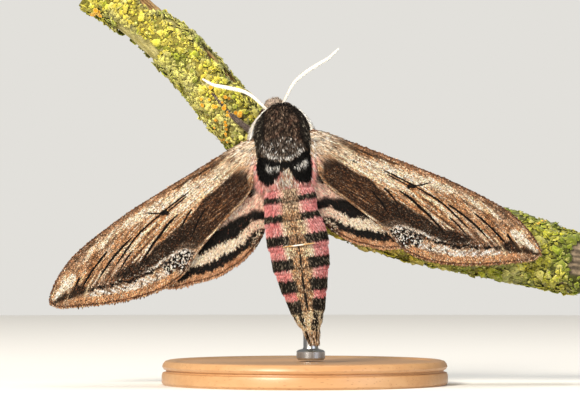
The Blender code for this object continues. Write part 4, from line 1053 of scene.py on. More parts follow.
thoraxMarks = {
    "pad": "#2a2520",
    "padDot": "#a8a090",
    "centre": "#43342a",
    "rust": "#7a4c3c",
    "hair": "#b39c88",
    "dark": "#15100d",
    "grey": "#70645a",
    "white": "#fbf7f0",
    "black": "#050403",
    "notch": "#dcc0a6",
    "pink": "#ffaaa2",
    "flank": "#f6e4cf",
    "under": "#b79a8b",
    "padLines": [[(-7.9, 55.2), (-8.0, 53.0), (-8.2, 50.6), (-8.0, 48.6), (-8.8, 47.0), (-9.3, 44.6)],
                 [(-3.0, 55.6), (-1.4, 53.8), (-1.0, 51.0), (-0.6, 49.6), (0.6, 47.8), (1.4, 47.0)]],
    "collar": [(-10.2, 52.6), (-9.6, 53.8), (-7.8, 55.3), (-5.4, 56.3), (-2.2, 55.8), (-0.6, 54.4),
               (0.4, 52.6)],
    "grizzled": [(-8.6, 48.8), (-6.5, 49.4), (-4.4, 49.9), (-2.2, 49.5), (-0.4, 48.4), (-0.6, 47.2),
                 (-2.0, 46.3), (-4.2, 45.6), (-6.4, 45.7), (-7.8, 46.3), (-8.8, 46.9)],
    "fleck": [[(-8.3, 47.4), (-7.4, 46.4), (-6, 45.75), (-4.4, 45.4)],
              [(-4, 45.5), (-2.6, 45.9), (-1.4, 46.6), (-0.5, 47.7)]],
    "mane": [(-9.9, 45.0), (-8.6, 46.0), (-6.6, 45.3), (-4.4, 44.9), (-2.0, 45.7), (-0.2, 47.3),
             (1.3, 46.9), (2.5, 44.6), (1.9, 42.2), (-0.2, 40.7), (-1.9, 41.3), (-3.2, 43.4),
             (-4.2, 43.7), (-5.4, 41.6), (-6.6, 40.3), (-8.2, 41.0), (-9.7, 42.4)],
    "whiteTufts": [[(-7.4, 44.3), (-6.6, 43.5), (-5.8, 43.4), (-4.8, 44.1)],
                   [(-2.5, 44.1), (-1.5, 43.9), (-0.5, 44.4), (0.2, 45.6)]],
    "notchShape": [(-4.3, 43.5), (-3.3, 43.5), (-2.0, 41.2), (-2.2, 40.2), (-4.9, 40.0), (-5.1, 41.0)],
}


def thoraxColour(spots, angle, draw):
    m = thoraxMarks
    x, z = spots[:, 0], spots[:, 2]
    count = len(x)
    fine = softNoise(3.2 * x, 2.2 * z, 20)
    colour = lay(m["centre"], m["rust"],
                 0.35 * ramp(softNoise(1.2 * x, 1.2 * z, 21), 0.45, 0.75))
    curl = softNoise(4.4 * x, 3.6 * z, 30)
    colour = layers(colour, [
        (m["hair"], 0.4 * ramp(curl, 0.6, 0.74) + 0.3 * (draw.random(count) < 0.15)),
        (m["dark"], 0.8 * ramp(curl, 0.42, 0.28) + 0.3 * (draw.random(count) < 0.25))])
    left = np.interp(z, [p[1] for p in m["padLines"][0]][::-1], [p[0] for p in m["padLines"][0]][::-1])
    right = np.interp(z, [p[1] for p in m["padLines"][1]][::-1], [p[0] for p in m["padLines"][1]][::-1])
    pads = np.maximum(ramp(x, left + 0.15, left - 0.15), ramp(x, right - 0.15, right + 0.15))
    padTone = lay(m["pad"], m["padDot"], 0.7 * (draw.random(count) < 0.12))
    colour = lay(colour, padTone, pads)
    for line in m["padLines"]:
        colour = lay(colour, m["dark"], 0.8 * streak(x, z, line, 0.5, 0.3, 0.05))
    grizzle = patch(x, z, m["grizzled"], 0.7)
    colour = layers(colour, [
        (m["grey"], 0.75 * grizzle),
        (m["white"], 0.8 * grizzle * (draw.random(count) < 0.15)),
        (m["dark"], 0.9 * grizzle * (draw.random(count) < 0.4))])
    for line in m["fleck"]:
        colour = lay(colour, m["white"],
                     0.95 * streak(x, z, line, 0.9, 0.3, 0.1) * (draw.random(count) < 0.62))
    colour = layers(colour, [
        (m["dark"], 0.8 * streak(x, z, m["collar"], 0.7, 0.4, 0.05)),
        (m["pink"], ramp(z, 43.0, 42.6)),
        (m["black"], patch(x, z, m["mane"], 0.3))])
    chance = draw.random(count)
    notch = lay(m["notch"], m["white"], 0.7 * (chance < 0.3))
    notch = lay(notch, m["rust"], 0.7 * (chance > 0.75))
    colour = lay(colour, notch, 0.95 * patch(x, z, m["notchShape"], 0.5))
    for line in m["whiteTufts"]:
        colour = lay(colour, m["white"],
                     0.97 * streak(x, z, line, 1.15, 0.5, 0.3) * (draw.random(count) < 0.6))
    flank = ramp(np.abs(angle), math.radians(99), math.radians(107))
    sideTone = lay(m["flank"], m["pink"], ramp(z + 1.5 * fine, 48.5, 45.0))
    colour = lay(colour, sideTone, flank)
    return lay(colour, m["under"], ramp(np.abs(angle), math.radians(130), math.radians(150)))


abdomenMarks = {
    "bands": [(41.6, 38.05, 37.0), (37.05, 34.6, 33.15), (33.1, 30.25, 28.5), (28.3, 25.75, 23.8),
              (23.6, 21.5, 19.3), (19.2, 17.6, 15.25)],
    "pink": "#ffa2a0",
    "rose": "#ee8888",
    "black": "#26221c",
    "ash": "#a39684",
    "deep": "#14110e",
    "tan": "#c89a6f",
    "cream": "#ffeecb",
    "stripe": "#b4947a",
    "grizzle": "#dcc4a6",
    "brown": "#54392a",
    "tail": "#e4c7a2",
    "white": "#efe6da",
    "under": "#c9a394",
}


def abdomenColour(share, angle, draw):
    m = abdomenMarks
    height, width = readRows(abdomen["rows"], share)[2:4]
    count = len(share)
    side = width * np.sin(angle)
    off = np.abs(side)
    ragged = 0.55 * (softNoise(5.5 * side, 0.4 * height, 22) - 0.5)
    h = height + ragged
    chance = draw.random(count)
    flank = plain(count, m["black"])
    cream = np.zeros(count)
    for number, (top, middle, bottom) in enumerate(m["bands"]):
        inPink = ramp(h, middle - 0.12, middle + 0.12) * ramp(h, top + 0.12, top - 0.12)
        rosy = lay(m["pink"], m["rose"],
                   0.8 * ramp(softNoise(0.8 * side, 0.8 * height, 23), 0.35, 0.75))
        flank = lay(flank, rosy, inPink)
        cream = np.maximum(cream, inPink * (0.5, 0.35, 0.75, 1.0, 0.3, 0.0)[number])
    inBlack = np.sum(flank, axis=1) < 0.9
    flank = layers(flank, [
        (m["deep"], 0.7 * (chance < 0.3) * inBlack),
        (m["ash"], 0.75 * (chance > 0.83) * inBlack)])
    edge = np.interp(height, (11, 15, 19, 23, 28, 34, 38, 41), (1.2, 1.5, 1.65, 1.95, 2.1, 1.8, 1.5, 1.35))
    wobble = 0.5 * (softNoise(2.2 * height, side, 24) - 0.5)
    narrow = np.zeros(count)
    for top, middle, bottom in m["bands"][2:]:
        narrow = np.maximum(narrow, ramp(height, middle + 0.2, middle - 0.3)
                            * ramp(height, bottom - 0.2, bottom + 0.2))
    stripe = ramp(off + wobble, edge + 0.35 - 0.5 * narrow, edge - 0.2 - 0.5 * narrow)
    colour = lay(flank, m["cream"], cream * ramp(off, edge + 1.5, edge + 0.2))
    middle = lay(m["stripe"], m["tan"], ramp(height, 36.2, 34.5))
    middle = layers(middle, [
        (m["cream"], 0.6 * cream * ramp(off, 0.3, 1.2)),
        (m["grizzle"], 0.8 * (chance < np.interp(height, (20, 28, 37), (0.4, 0.2, 0.45)))),
        (m["brown"], 0.75 * ((chance > 0.5) & (chance < 0.74)))])
    banded = np.zeros(count)
    for top, pinkEnd, bottom in m["bands"][:3]:
        banded = np.maximum(banded, ramp(h, pinkEnd + 0.1, pinkEnd - 0.2)
                            * ramp(h, bottom - 0.1, bottom + 0.2))
    middle = lay(middle, m["brown"], 0.3 * banded)
    colour = lay(colour, middle, stripe)
    line = np.interp(height, (10, 12, 20, 28, 33, 35), (0.08, 0.13, 0.2, 0.13, 0.1, 0.04))
    line *= 0.5 + 1.0 * softNoise(0.8 * height, 0 * height, 27)
    for joint in abdomen["edges"]:
        line = line - 0.25 * ramp(np.abs(height - joint), 0.5, 0.2)
    strength = np.interp(height, (28, 29, 35), (0.95, 0.6, 0.2))
    colour = lay(colour, m["deep"], strength * ramp(off, line + 0.1, line - 0.1))
    for top, pinkEnd, bottom in m["bands"]:
        colour = lay(colour, m["deep"], 0.5 * ramp(np.abs(height - bottom), 0.16, 0.05))
    tailMix = lay(m["tail"], m["deep"],
                  0.9 * ramp(softNoise(2.7 * angle, 0.3 * height, 25), 0.46, 0.56))
    tailMix = lay(tailMix, m["cream"], 0.8 * (chance < 0.3))
    colour = lay(colour, tailMix, ramp(h, 15.4, 14.9))
    under = lay(m["under"], m["grizzle"], 0.6 * (chance < 0.4))
    under = lay(under, m["brown"], 0.6 * ramp(off, 0.9, 0.5))
    return lay(colour, under, ramp(np.abs(angle), math.radians(122), math.radians(140)))


headShape = {
    "centre": (-5.9, -8.3, 55.2),
    "lean": math.radians(17),
    "tuck": math.radians(50),
    "radii": (2.6, 2.35, 2.35),
    "coat": 0.3,
    "eyeRadius": 1.4,
    "eyePlace": (2.2, 0.3, -0.45),
    "palpRoute": [(1.05, 1.2, -1.5), (1.05, 2.3, -1.9), (1.0, 3.05, -1.2), (0.95, 3.1, -0.2),
                  (0.85, 2.9, 0.6)],
    "eyeDark": "#120b07",
    "eyeBrown": "#4a2c1a",
    "hornDark": "#2b170c",
    "hornBrown": "#7a4a26",
    "palpTone": "#7b6455",
    "palpPale": "#efe3d4",
    "palpRadii": [0.6, 0.62, 0.6, 0.55, 0.35],
    "coilCentre": (0.0, 2.3, -2.85),
    "coilRadii": (0.35, 1.25),
    "coilTurns": 1.6,
    "coilTube": 0.25,
}
lean, tuck = headShape["lean"], headShape["tuck"]
headUp = np.array((-math.sin(lean), 0.0, math.cos(lean)))
headForward = math.cos(tuck) * headUp + math.sin(tuck) * np.array((0.0, 1.0, 0.0))
headCrown = math.sin(tuck) * headUp - math.cos(tuck) * np.array((0.0, 1.0, 0.0))
headSideways = np.cross(headForward, headCrown)
headAxes = np.array([headSideways, headForward, headCrown])


def inHead(places):
    return np.array(headShape["centre"]) + np.asarray(places, float) @ headAxes


palpRoutes = [inHead([(sign * a, b, c) for a, b, c in headShape["palpRoute"]]) for sign in (-1, 1)]
branch = {
    "route": [(-42.6, 1.5, 80.9, 5.0), (-37.4, 1.0, 76.7, 5.0), (-31.3, 0.4, 71.4, 5.0),
              (-24.2, 0.0, 65.3, 5.1), (-17.8, 0.0, 58.3, 5.0), (-11.5, 0.0, 51.2, 4.9),
              (-5.0, 0.0, 44.5, 4.9), (2.0, 0.0, 38.8, 4.9), (9.1, 0.5, 34.8, 5.0),
              (19.3, 1.8, 31.4, 5.2), (29.4, 3.0, 29.3, 5.5), (43.7, 4.0, 27.2, 6.3),
              (57.0, 4.2, 25.0, 6.6)],
    "rings": 420,
    "sides": 96,
    "seed": 83,
    "lobes": 14000,
    "lobeSize": (0.28, 1.15),
    "rosettes": 150,
    "cups": [(-15.3, -0.13, 1.7, 0.26, 24, 0.3, 0.58), (-12.6, -0.8, 1.2, 0.2, 10, 0.25, 0.45),
             (-39.6, -0.9, 0.8, 0.14, 8, 0.4, 0.68), (46.0, 1.2, 3.5, 0.2, 10, 0.18, 0.3),
             (-5.0, 2.6, 18.0, 0.5, 34, 0.2, 0.4)],
}
branch["rows"] = evenRows(branch["route"], np.linspace(0, 1, 600))


def branchFrame(share):
    # middle, radius, way along and upward normal of the branch
    x, y, z, radius = readRows(branch["rows"], share)
    along = unit(wayAlong(lambda place: np.stack(readRows(branch["rows"], place)[:3], axis=-1), share,
                          0.004))
    up = unit(np.cross(along, (0.0, 1.0, 0.0)))
    up *= np.where(up[..., 2:] < 0, -1, 1)
    return np.stack([x, y, z], axis=-1), radius, along, up


def onBranch(share, turn, height):
    # turn runs from the branch's front upwards
    middle, radius, along, up = branchFrame(share)
    out = np.cos(turn)[..., None] * np.array((0.0, -1.0, 0.0)) + np.sin(turn)[..., None] * up
    return middle + (radius + height)[..., None] * out, along, out


def shareAtX(x):
    return np.interp(x, branch["rows"][:, 0], np.linspace(0, 1, len(branch["rows"])))


# Each leg: root, hip and knee, then heel and toe as the branch's x and degrees round it
legs = {
    "foreleg_left": ([(-7.0, -10.6, 50.8), (-9.2, -8.9, 51.0), (-11.7, -7.9, 51.9)], (-14.9, -3),
                     (-18.4, -3)),
    "foreleg_right": ([(-3.2, -10.6, 51.6), (-1.4, -8.6, 51.6), (0.2, -6.9, 50.6)], (-1.2, 55), (1.6, 49)),
    "midleg_left": ([(-6.8, -10.0, 47.8), (-9.0, -8.3, 47.4), (-11.4, -6.9, 46.6)], (-8.2, -48),
                    (-10.8, -62)),
    "midleg_right": ([(-1.8, -10.0, 48.4), (0.4, -8.2, 48.0), (3.2, -7.0, 46.6)], (4.4, 43), (7.6, 37)),
    "hindleg_left": ([(-6.4, -10.0, 44.4), (-8.4, -8.2, 43.6), (-10.0, -6.6, 42.0)], (-4.4, -44),
                     (-1.6, -58)),
    "hindleg_right": ([(-1.6, -10.0, 44.8), (0.6, -8.4, 43.8), (2.8, -7.6, 42.0)], (6.0, 8), (9.6, 0)),
}
legShape = {
    "radii": [0.9, 0.95, 0.8, 0.6, 0.62, 0.52, 0.36, 0.33, 0.28],
    "coat": 0.1,
    "footHeight": 0.55,
    "colour": "#7a6b63",
    "pale": "#cbbcab",
    "dark": "#453933",
}


def legRoute(name):
    upper, heel, toe = legs[name]
    foot = []
    for step in (0.0, 0.5, 1.0):
        x = heel[0] + step * (toe[0] - heel[0])
        turn = math.radians(heel[1] + step * (toe[1] - heel[1]))
        foot.append(onBranch(np.array(shareAtX(x)), np.array(turn), np.array(legShape["footHeight"]))[0])
    return [*upper, *foot]


def tubeFrame(route, radii, share, turn, grow=0.0):
    # points round a route, with the ways along it and out of it
    middle = evenRows(route, share)
    ahead = unit(wayAlong(lambda place: evenRows(route, place), share, 0.01))
    side = unit(np.cross(ahead, (0.13, 1.0, 0.21)))
    up = np.cross(side, ahead)
    radius = np.interp(share, np.linspace(0, 1, 200), smoothRows([[r] for r in radii], 200)[:, 0]) + grow
    out = side * np.cos(turn)[:, None] + up * np.sin(turn)[:, None]
    return middle + radius[:, None] * out, ahead, out


# the skin only shows as the ground between tufts, and its colours are darkened there as painted shade
fleshCoat = scaledCoat("moth body under its scales", 0.85, 0.02, 0.3, 0.04)
# flattened hairs: matt velvet with a faint bloom
furCoat = scaledCoat("moth body hair and scales", 0.8, 0.04, 0.4, 0.02)


def limb(name, along, around, route, radii, grow):
    return rolledTube(name, along, around,
                      lambda share, turn: tubeFrame(route, radii, share, turn, grow)[0])


def headBall():
    work = bmesh.new()
    bmesh.ops.create_uvsphere(work, u_segments=64, v_segments=40, radius=1.0)
    reach = np.array(headShape["radii"]) - headShape["coat"]
    for vert in work.verts:
        vert.co = inHead(np.array(vert.co) * reach) * mm
    return meshOf(work, "headBall")


def bodyTubes():
    meshes = []
    for part, along in ((thorax, 110), (abdomen, 260)):
        def where(share, turn, part=part):
            return onBody(part, share, turn - math.pi, -part["coat"])
        meshes.append(rolledTube("bodyTube", along, 97, where))
    meshes.append(headBall())
    neck = [headShape["centre"], (-5.4, -10.8, 54.2), (-4.9, -13.0, 53.0)]
    meshes.append(limb("neck", 30, 33, neck, [1.7, 2.0, 2.4], 0.0))
    meshes += [limb(name, 90, 17, legRoute(name), legShape["radii"], -legShape["coat"]) for name in legs]
    meshes += [limb("palp", 40, 17, route, headShape["palpRadii"], -0.1) for route in palpRoutes]
    return meshes


def bodySkin():
    # the flesh as one skin: its tubes are merged by a fine remesh, so that nothing shows a seam
    work = bmesh.new()
    for mesh in bodyTubes():
        work.from_mesh(mesh)
        bpy.data.meshes.remove(mesh)
    rough = bpy.data.meshes.new("bodySkin")
    work.to_mesh(rough)
    work.free()
    holder = bpy.data.objects.new("bodyRough", rough)
    bpy.context.scene.collection.objects.link(holder)
    merge = holder.modifiers.new("merge", "REMESH")
    merge.mode = "VOXEL"
    merge.voxel_size = 0.21 * mm
    ease = holder.modifiers.new("ease", "SMOOTH")
    ease.factor = 0.5
    ease.iterations = 2
    mesh = bpy.data.meshes.new_from_object(holder.evaluated_get(bpy.context.evaluated_depsgraph_get()))
    bpy.data.objects.remove(holder, do_unlink=True)
    mesh.shade_smooth()
    co = points(mesh)
    draw = np.random.default_rng(11)
    colours = skinColour(co, draw)
    # the markings at 0.75: painted shade where the skin shows between the tufts
    setColours(mesh, colours * 0.75)
    nodes = ["thorax", "abdomen", "head", "palp_left", "palp_right", *legs]
    return place("bodySkin", mesh, fleshCoat, "body_scales", nodes)


headMarks = {"brow": "#5d4b40", "crown": "#cdb9aa", "eyeLine": "#f2e9dc", "face": "#8c7565",
             "fleck": "#d7c7ae", "under": "#cdb9a8"}


def headColour(local, draw):
    # the head from its own side: dark brow, pale line over each eye, grey crown, brown face
    x, y, z = local.T
    count = len(x)
    colour = lay(headMarks["brow"], headMarks["crown"], 0.8 * ramp(z, 1.3, 2.0))
    colour = layers(colour, [
        (headMarks["eyeLine"], 0.85 * ramp(np.abs(z - 0.95), 0.45, 0.2) * ramp(np.abs(x), 0.9, 1.3)),
        (headMarks["face"], 0.7 * ramp(y, 1.3, 2.1)),
        (headMarks["fleck"], 0.55 * (draw.random(count) < 0.25))])
    return lay(colour, headMarks["under"], 0.8 * ramp(z, -0.9, -1.6))


def legColour(share, draw):
    count = len(share)
    colour = lay(legShape["colour"], legShape["dark"], 0.6 * (draw.random(count) < 0.3))
    ring = np.abs(((share - 0.62) * 13) % 1.0 - 0.5)
    colour = lay(colour, legShape["pale"], 0.75 * ramp(ring, 0.32, 0.42) * (share > 0.62))
    return lay(colour, legShape["pale"], 0.5 * (draw.random(count) < 0.08))


def skinColour(co, draw):
    x, z = co[:, 0], co[:, 2]
    colours = plain(len(co), legShape["colour"])
    for part, low, high in ((thorax, 39.0, 57.0), (abdomen, 8.0, 41.0)):
        rows = part["rows"][::-1]
        middleX, middleY, width, depth = (np.interp(z, rows[:, 2], rows[:, k]) for k in (0, 1, 3, 4))
        far = np.hypot((x - middleX) / width, (co[:, 1] - middleY) / depth)
        chosen = (far < 1.12) & (z > low) & (z < high)
        angle = np.arctan2((x - middleX) / width, -(co[:, 1] - middleY) / depth)
        steps = np.linspace(1, 0, len(rows))
        if part is thorax:
            colours[chosen] = thoraxColour(co[chosen], angle[chosen], draw)
        else:
            square = z - np.tan(part["tilt"]) * (x - middleX)
            share = np.interp(square, rows[:, 2], steps)
            colours[chosen] = abdomenColour(share[chosen], angle[chosen], draw)
    local = (co - np.array(headShape["centre"])) @ headAxes.T
    near = np.linalg.norm(local / np.array(headShape["radii"]), axis=1) < 1.05
    colours[near] = headColour(local[near], draw)
    return colours


thoraxCoat = {"seed": 41, "length": 0.85, "maneLength": 0.75, "width": (0.13, 0.2), "lift": 0.34,
              "maneLift": 0.5, "tone": (0.65, 1.4)}


def thoraxFur():
    draw = np.random.default_rng(thoraxCoat["seed"])
    share, angle = bodyRoots(thorax, thorax["gap"], draw)
    root, rear, out = bodySpots(thorax, share, angle, -thorax["coat"])
    number = len(share)
    side = np.cross(rear, out)
    height = root[:, 2]
    mane = ramp(height, 46.5, 44.0)
    swirl = softNoise(0.9 * root[:, 0], 0.9 * height, 26) - 0.5
    lie = unit(rear + side * (1.1 * swirl + draw.normal(0, 0.2, number))[:, None])
    length = (thoraxCoat["length"] + thoraxCoat["maneLength"] * mane) * draw.uniform(0.75, 1.25, number)
    length *= np.interp(share, (0.0, 0.15), (0.6, 1.0))
    width = draw.uniform(*thoraxCoat["width"], number)
    lift = thoraxCoat["lift"] + thoraxCoat["maneLift"] * mane - 0.12 * ramp(np.abs(angle), 1.3, 1.6)
    lift = lift * draw.uniform(0.7, 1.3, number)
    seen = np.interp(height, (43, 48), (0.8, 0.5))[:, None]
    colours = thoraxColour(root + seen * lie * length[:, None], angle, draw)
    bright = draw.uniform(*thoraxCoat["tone"], number)
    bright = np.where(np.abs(angle) > 1.7, 1.0, bright)
    colours = np.clip(colours * bright[:, None], 0, 1)
    shapes = tufts(root, lie, out, length, width, lift)
    joined("thoraxFur", shapes, "tuft", shaded(colours), bodyUnwrap(thorax, share, angle), furCoat,
           "body_scales")


maneCoat = {"seed": 43, "number": 2600, "share": (0.7, 0.97), "width": (0.12, 0.19), "lift": 0.75}
sideFringe = {"number": 2300, "share": (0.1, 0.97), "degrees": (74, 100), "lift": 0.2, "white": "#fff6e8",
              "buff": "#e2c09c", "pink": "#ffa6a2", "brown": "#9c7858"}


def maneFur():
    # the long rear mane over the first segment, and the pale fringes beside the wings
    draw = np.random.default_rng(maneCoat["seed"])
    number = maneCoat["number"]
    share = draw.uniform(*maneCoat["share"], number)
    angle = draw.uniform(-1.35, 1.35, number)
    root, rear, out = bodySpots(thorax, share, angle, -thorax["coat"])
    side = np.cross(rear, out)
    lie = unit(rear + side * draw.normal(0, 0.22, (number, 1)))
    length = np.interp(np.abs(angle), (0.2, 0.5, 1.3), (0.9, 1.3, 1.2)) * draw.uniform(0.7, 1.15, number)
    colours = thoraxColour(root + 0.7 * lie * length[:, None], angle, draw)
    width = draw.uniform(*maneCoat["width"], number)
    parts = [tufts(root, lie, out, length, width, maneCoat["lift"] * draw.uniform(0.5, 1.2, number))]
    tints = [shaded(colours)]
    unwraps = [bodyUnwrap(thorax, share, angle)]
    for sign in (-1, 1):
        number = sideFringe["number"]
        share = draw.uniform(*sideFringe["share"], number)
        angle = sign * np.radians(draw.uniform(*sideFringe["degrees"], number))
        root, rear, out = bodySpots(thorax, share, angle, -0.2)
        away = np.tile((sign * 1.0, 0.0, 0.0), (number, 1))
        spread = np.interp(share, (0.1, 0.3, 0.5), (0.05, 0.3, 0.75)) * draw.uniform(0.5, 1.1, number)
        lie = unit(rear + away * spread[:, None] + draw.normal(0, 0.08, (number, 3)))
        length = np.interp(share, (0.1, 0.22, 0.4, 0.9), (0.4, 0.7, 1.7, 2.4))
        length = length * draw.uniform(0.7, 1.15, number)
        rise = unit(0.5 * out + np.array((0.0, -1.0, 0.0)))
        z = root[:, 2] + draw.normal(0, 0.6, number)
        rosy = ramp(z, 48.0, 45.0) * (draw.random(number) < 0.85)
        low = 0.8 * ramp(z, 52, 49)
        colours = plain(number, sideFringe["white"])
        colours = layers(colours, [
            (sideFringe["buff"], low * (draw.random(number) < 0.25)),
            (sideFringe["pink"], rosy),
            (sideFringe["brown"], low * (draw.random(number) < 0.1))])
        colours = uneven(colours, draw, 0.85, 1.15)
        width = draw.uniform(*maneCoat["width"], number)
        parts.append(tufts(root, lie, rise, length, width, sideFringe["lift"]))
        tints.append(shaded(colours, (1.0, 1.04, 1.06)))
        unwraps.append(bodyUnwrap(thorax, share, angle))
    joined("maneFur", parts, "tuft", tints, unwraps, furCoat, "body_scales")


abdomenCoat = {"seed": 47, "length": 0.55, "lift": 0.2, "width": 0.21, "pinkWidth": 0.17}
tailCoat = {"number": 900, "share": (0.82, 0.975), "length": (1.0, 2.0), "width": (0.11, 0.18),
            "lift": 0.12, "tan": "#dcbb96", "white": "#fff4e4", "dark": "#1c130d"}


def abdomenFur():
    draw = np.random.default_rng(abdomenCoat["seed"])
    share, angle = bodyRoots(abdomen, abdomen["gap"], draw)
    keep = (share > 0.07) & (share < 0.995)
    share, angle = share[keep], angle[keep]
    root, rear, out = bodySpots(abdomen, share, angle, -abdomen["coat"])
    number = len(share)
    side = np.cross(rear, out)
    width = readRows(abdomen["rows"], share)[3]
    sideOff = np.abs(width * np.sin(angle))
    pinkish = ramp(sideOff, 2.2, 3.2) * ramp(np.abs(angle), 2.1, 1.9)
    tail = ramp(root[:, 2], 13.5, 11.0)
    lie = unit(rear + side * draw.normal(0, 0.13, (number, 1)))
    length = (abdomenCoat["length"] + 0.3 * pinkish + 0.3 * tail) * draw.uniform(0.8, 1.2, number)
    lift = (abdomenCoat["lift"] + 0.1 * pinkish - 0.1 * tail) * draw.uniform(0.7, 1.3, number)
    shift = 0.6 * length / 34
    colours = abdomenColour(np.clip(share + shift, 0, 1), angle, draw)
    colours = uneven(colours, draw, 0.7, 1.3)
    # no tuft hangs over the bare hoop in the middle of the back
    central = (np.abs(angle - 0.1) < 0.72) & (root[:, 2] > 28.1) & (root[:, 2] < 29.4)
    length = np.where(central, np.clip(root[:, 2] - 28.65, 0.12, 1.0), length)
    wide = np.interp(pinkish, (0, 1), (abdomenCoat["width"], abdomenCoat["pinkWidth"]))
    wide = wide * draw.uniform(0.85, 1.15, number)
    shapes = tufts(root, lie, out, length, wide, lift, 0.08)
    half = number // 2
    rows = shaded(colours, (0.7, 0.97, 1.05))
    unwrap = bodyUnwrap(abdomen, share, angle)
    joined("abdomenFurFront", shapes[:half], "tuft", rows[:half], unwrap[:half], furCoat, "body_scales")
    joined("abdomenFurRear", shapes[half:], "tuft", rows[half:], unwrap[half:], furCoat, "body_scales")
    number = tailCoat["number"]
    share = draw.uniform(*tailCoat["share"], number)
    angle = draw.uniform(-math.pi, math.pi, number)
    root, rear, out = bodySpots(abdomen, share, angle, -abdomen["coat"])
    length = draw.uniform(*tailCoat["length"], number)
    aim = np.stack([1.8 + 1.05 * np.sin(angle), -11.6 - 0.5 * np.cos(angle), 8.4 + 0.4 * np.cos(5 * angle)],
                   axis=1)
    towards = aim - root
    length = np.minimum(length, 0.95 * np.linalg.norm(towards, axis=1))
    lie = unit(unit(towards) + draw.normal(0, 0.07, (number, 3)))
    streaky = softNoise(3.2 * np.degrees(angle) / 20, 0 * angle, 28)
    tones = lay(tailCoat["tan"], tailCoat["white"], 0.9 * (draw.random(number) < 0.45))
    tones = lay(tones, tailCoat["dark"], 0.9 * ramp(streaky + draw.normal(0, 0.08, number), 0.5, 0.56))
    shapes = tufts(root, unit(lie), out, length, draw.uniform(*tailCoat["width"], number), tailCoat["lift"])
    joined("tailHairs", shapes, "tuft", shaded(tones), bodyUnwrap(abdomen, share, angle), furCoat,
           "body_scales")


hoop = {"height": 28.4, "amber": "#c9995c", "glintWhite": "#fffaf0", "glintX": -1.4}


def membrane():
    # the bare shining hoop that shows where the fourth segment has slid out
    def round(share, turn):
        # the hoop is widest and proudest in the middle of the back, and sinks away down the flanks
        angle = turn - math.pi
        show = ramp(np.abs(angle - 0.1), 0.95, 0.35)
        height = hoop["height"] + (0.07 + 0.1 * show) * (2 * share - 1)
        rows = abdomen["rows"][::-1]
        place = np.interp(height, rows[:, 2], np.linspace(1, 0, len(rows)))
        lift = -0.3 + (0.1 + 0.5 * show) * np.sin(share * math.pi) ** 0.5
        return onBody(abdomen, place, angle, lift)
    mesh = rolledTube("hoopMembrane", 8, 121, round)
    # waxy cuticle: smooth and clear coated, amber at the sides, with a painted white glint where it bulges
    made = tintedStuff("amber cuticle", {"Roughness": 0.16, "IOR": 1.5, "Coat Weight": 0.8}, 0.5, {},
                       {"To Min": 0.8, "To Max": 1.15})
    # a white patch round glintX, fading out over about 1.6 mm: a painted glint
    off = points(mesh)[:, 0] - hoop["glintX"]
    setColours(mesh, lay(hoop["amber"], hoop["glintWhite"], ramp(np.abs(off), 1.6, 0.6)))
    place("hoopMembrane", mesh, made, "body_scales", [])


headCoat = {"seed": 53, "number": 4200, "length": 0.5, "crownLength": 0.25, "width": (0.1, 0.16),
            "lift": 0.22}


def headFur():
    draw = np.random.default_rng(headCoat["seed"])
    number = headCoat["number"]
    turn = draw.uniform(0, 2 * math.pi, number)
    z = draw.uniform(-1, 1, number)
    ball = np.stack([np.sqrt(1 - z**2) * np.cos(turn), np.sqrt(1 - z**2) * np.sin(turn), z], axis=1)
    reach = np.array(headShape["radii"]) - headShape["coat"]
    eyes = [np.array((sign * headShape["eyePlace"][0], *headShape["eyePlace"][1:])) for sign in (-1, 1)]
    clear = np.min([np.linalg.norm(ball * reach - eye, axis=1) for eye in eyes], axis=0)
    keep = (clear > headShape["eyeRadius"] + 0.12) & (ball[:, 1] > -0.75)
    ball, turn, z = ball[keep], turn[keep], z[keep]
    number = len(ball)
    local = ball * reach
    crown = ramp(local[:, 2], 0.9, 1.7) * ramp(np.abs(local[:, 0]), 1.5, 1.0)
    towards = np.stack([0.3 * local[:, 0], 0.25 + 0.5 * crown, 0.3 * crown - 0.6 * ramp(z, 0.2, -0.6)],
                       axis=1)
    out = unit(ball / reach)
    lie = unit(towards - out * np.sum(towards * out, axis=1)[:, None] * 0.8
               + draw.normal(0, 0.18, (number, 3)))
    length = (headCoat["length"] + headCoat["crownLength"] * crown) * draw.uniform(0.7, 1.3, number)
    colours = headColour(local, draw)
    colours = uneven(colours, draw, 0.68, 1.3)
    shapes = tufts(inHead(local), lie @ headAxes, out @ headAxes, length,
                   draw.uniform(*headCoat["width"], number),
                   (headCoat["lift"] + 0.15 * crown) * draw.uniform(0.7, 1.3, number))
    unwrap = np.stack([mapEdge + mapSpan * turn / (2 * math.pi), 0.7 + 0.14 * (z + 1)], axis=1)
    joined("headFur", shapes, "tuft", shaded(colours), unwrap, furCoat, "body_scales")


def palpColour(share, draw):
    return lay(headShape["palpTone"], headShape["palpPale"],
               0.8 * (draw.random(len(share)) < 0.3))


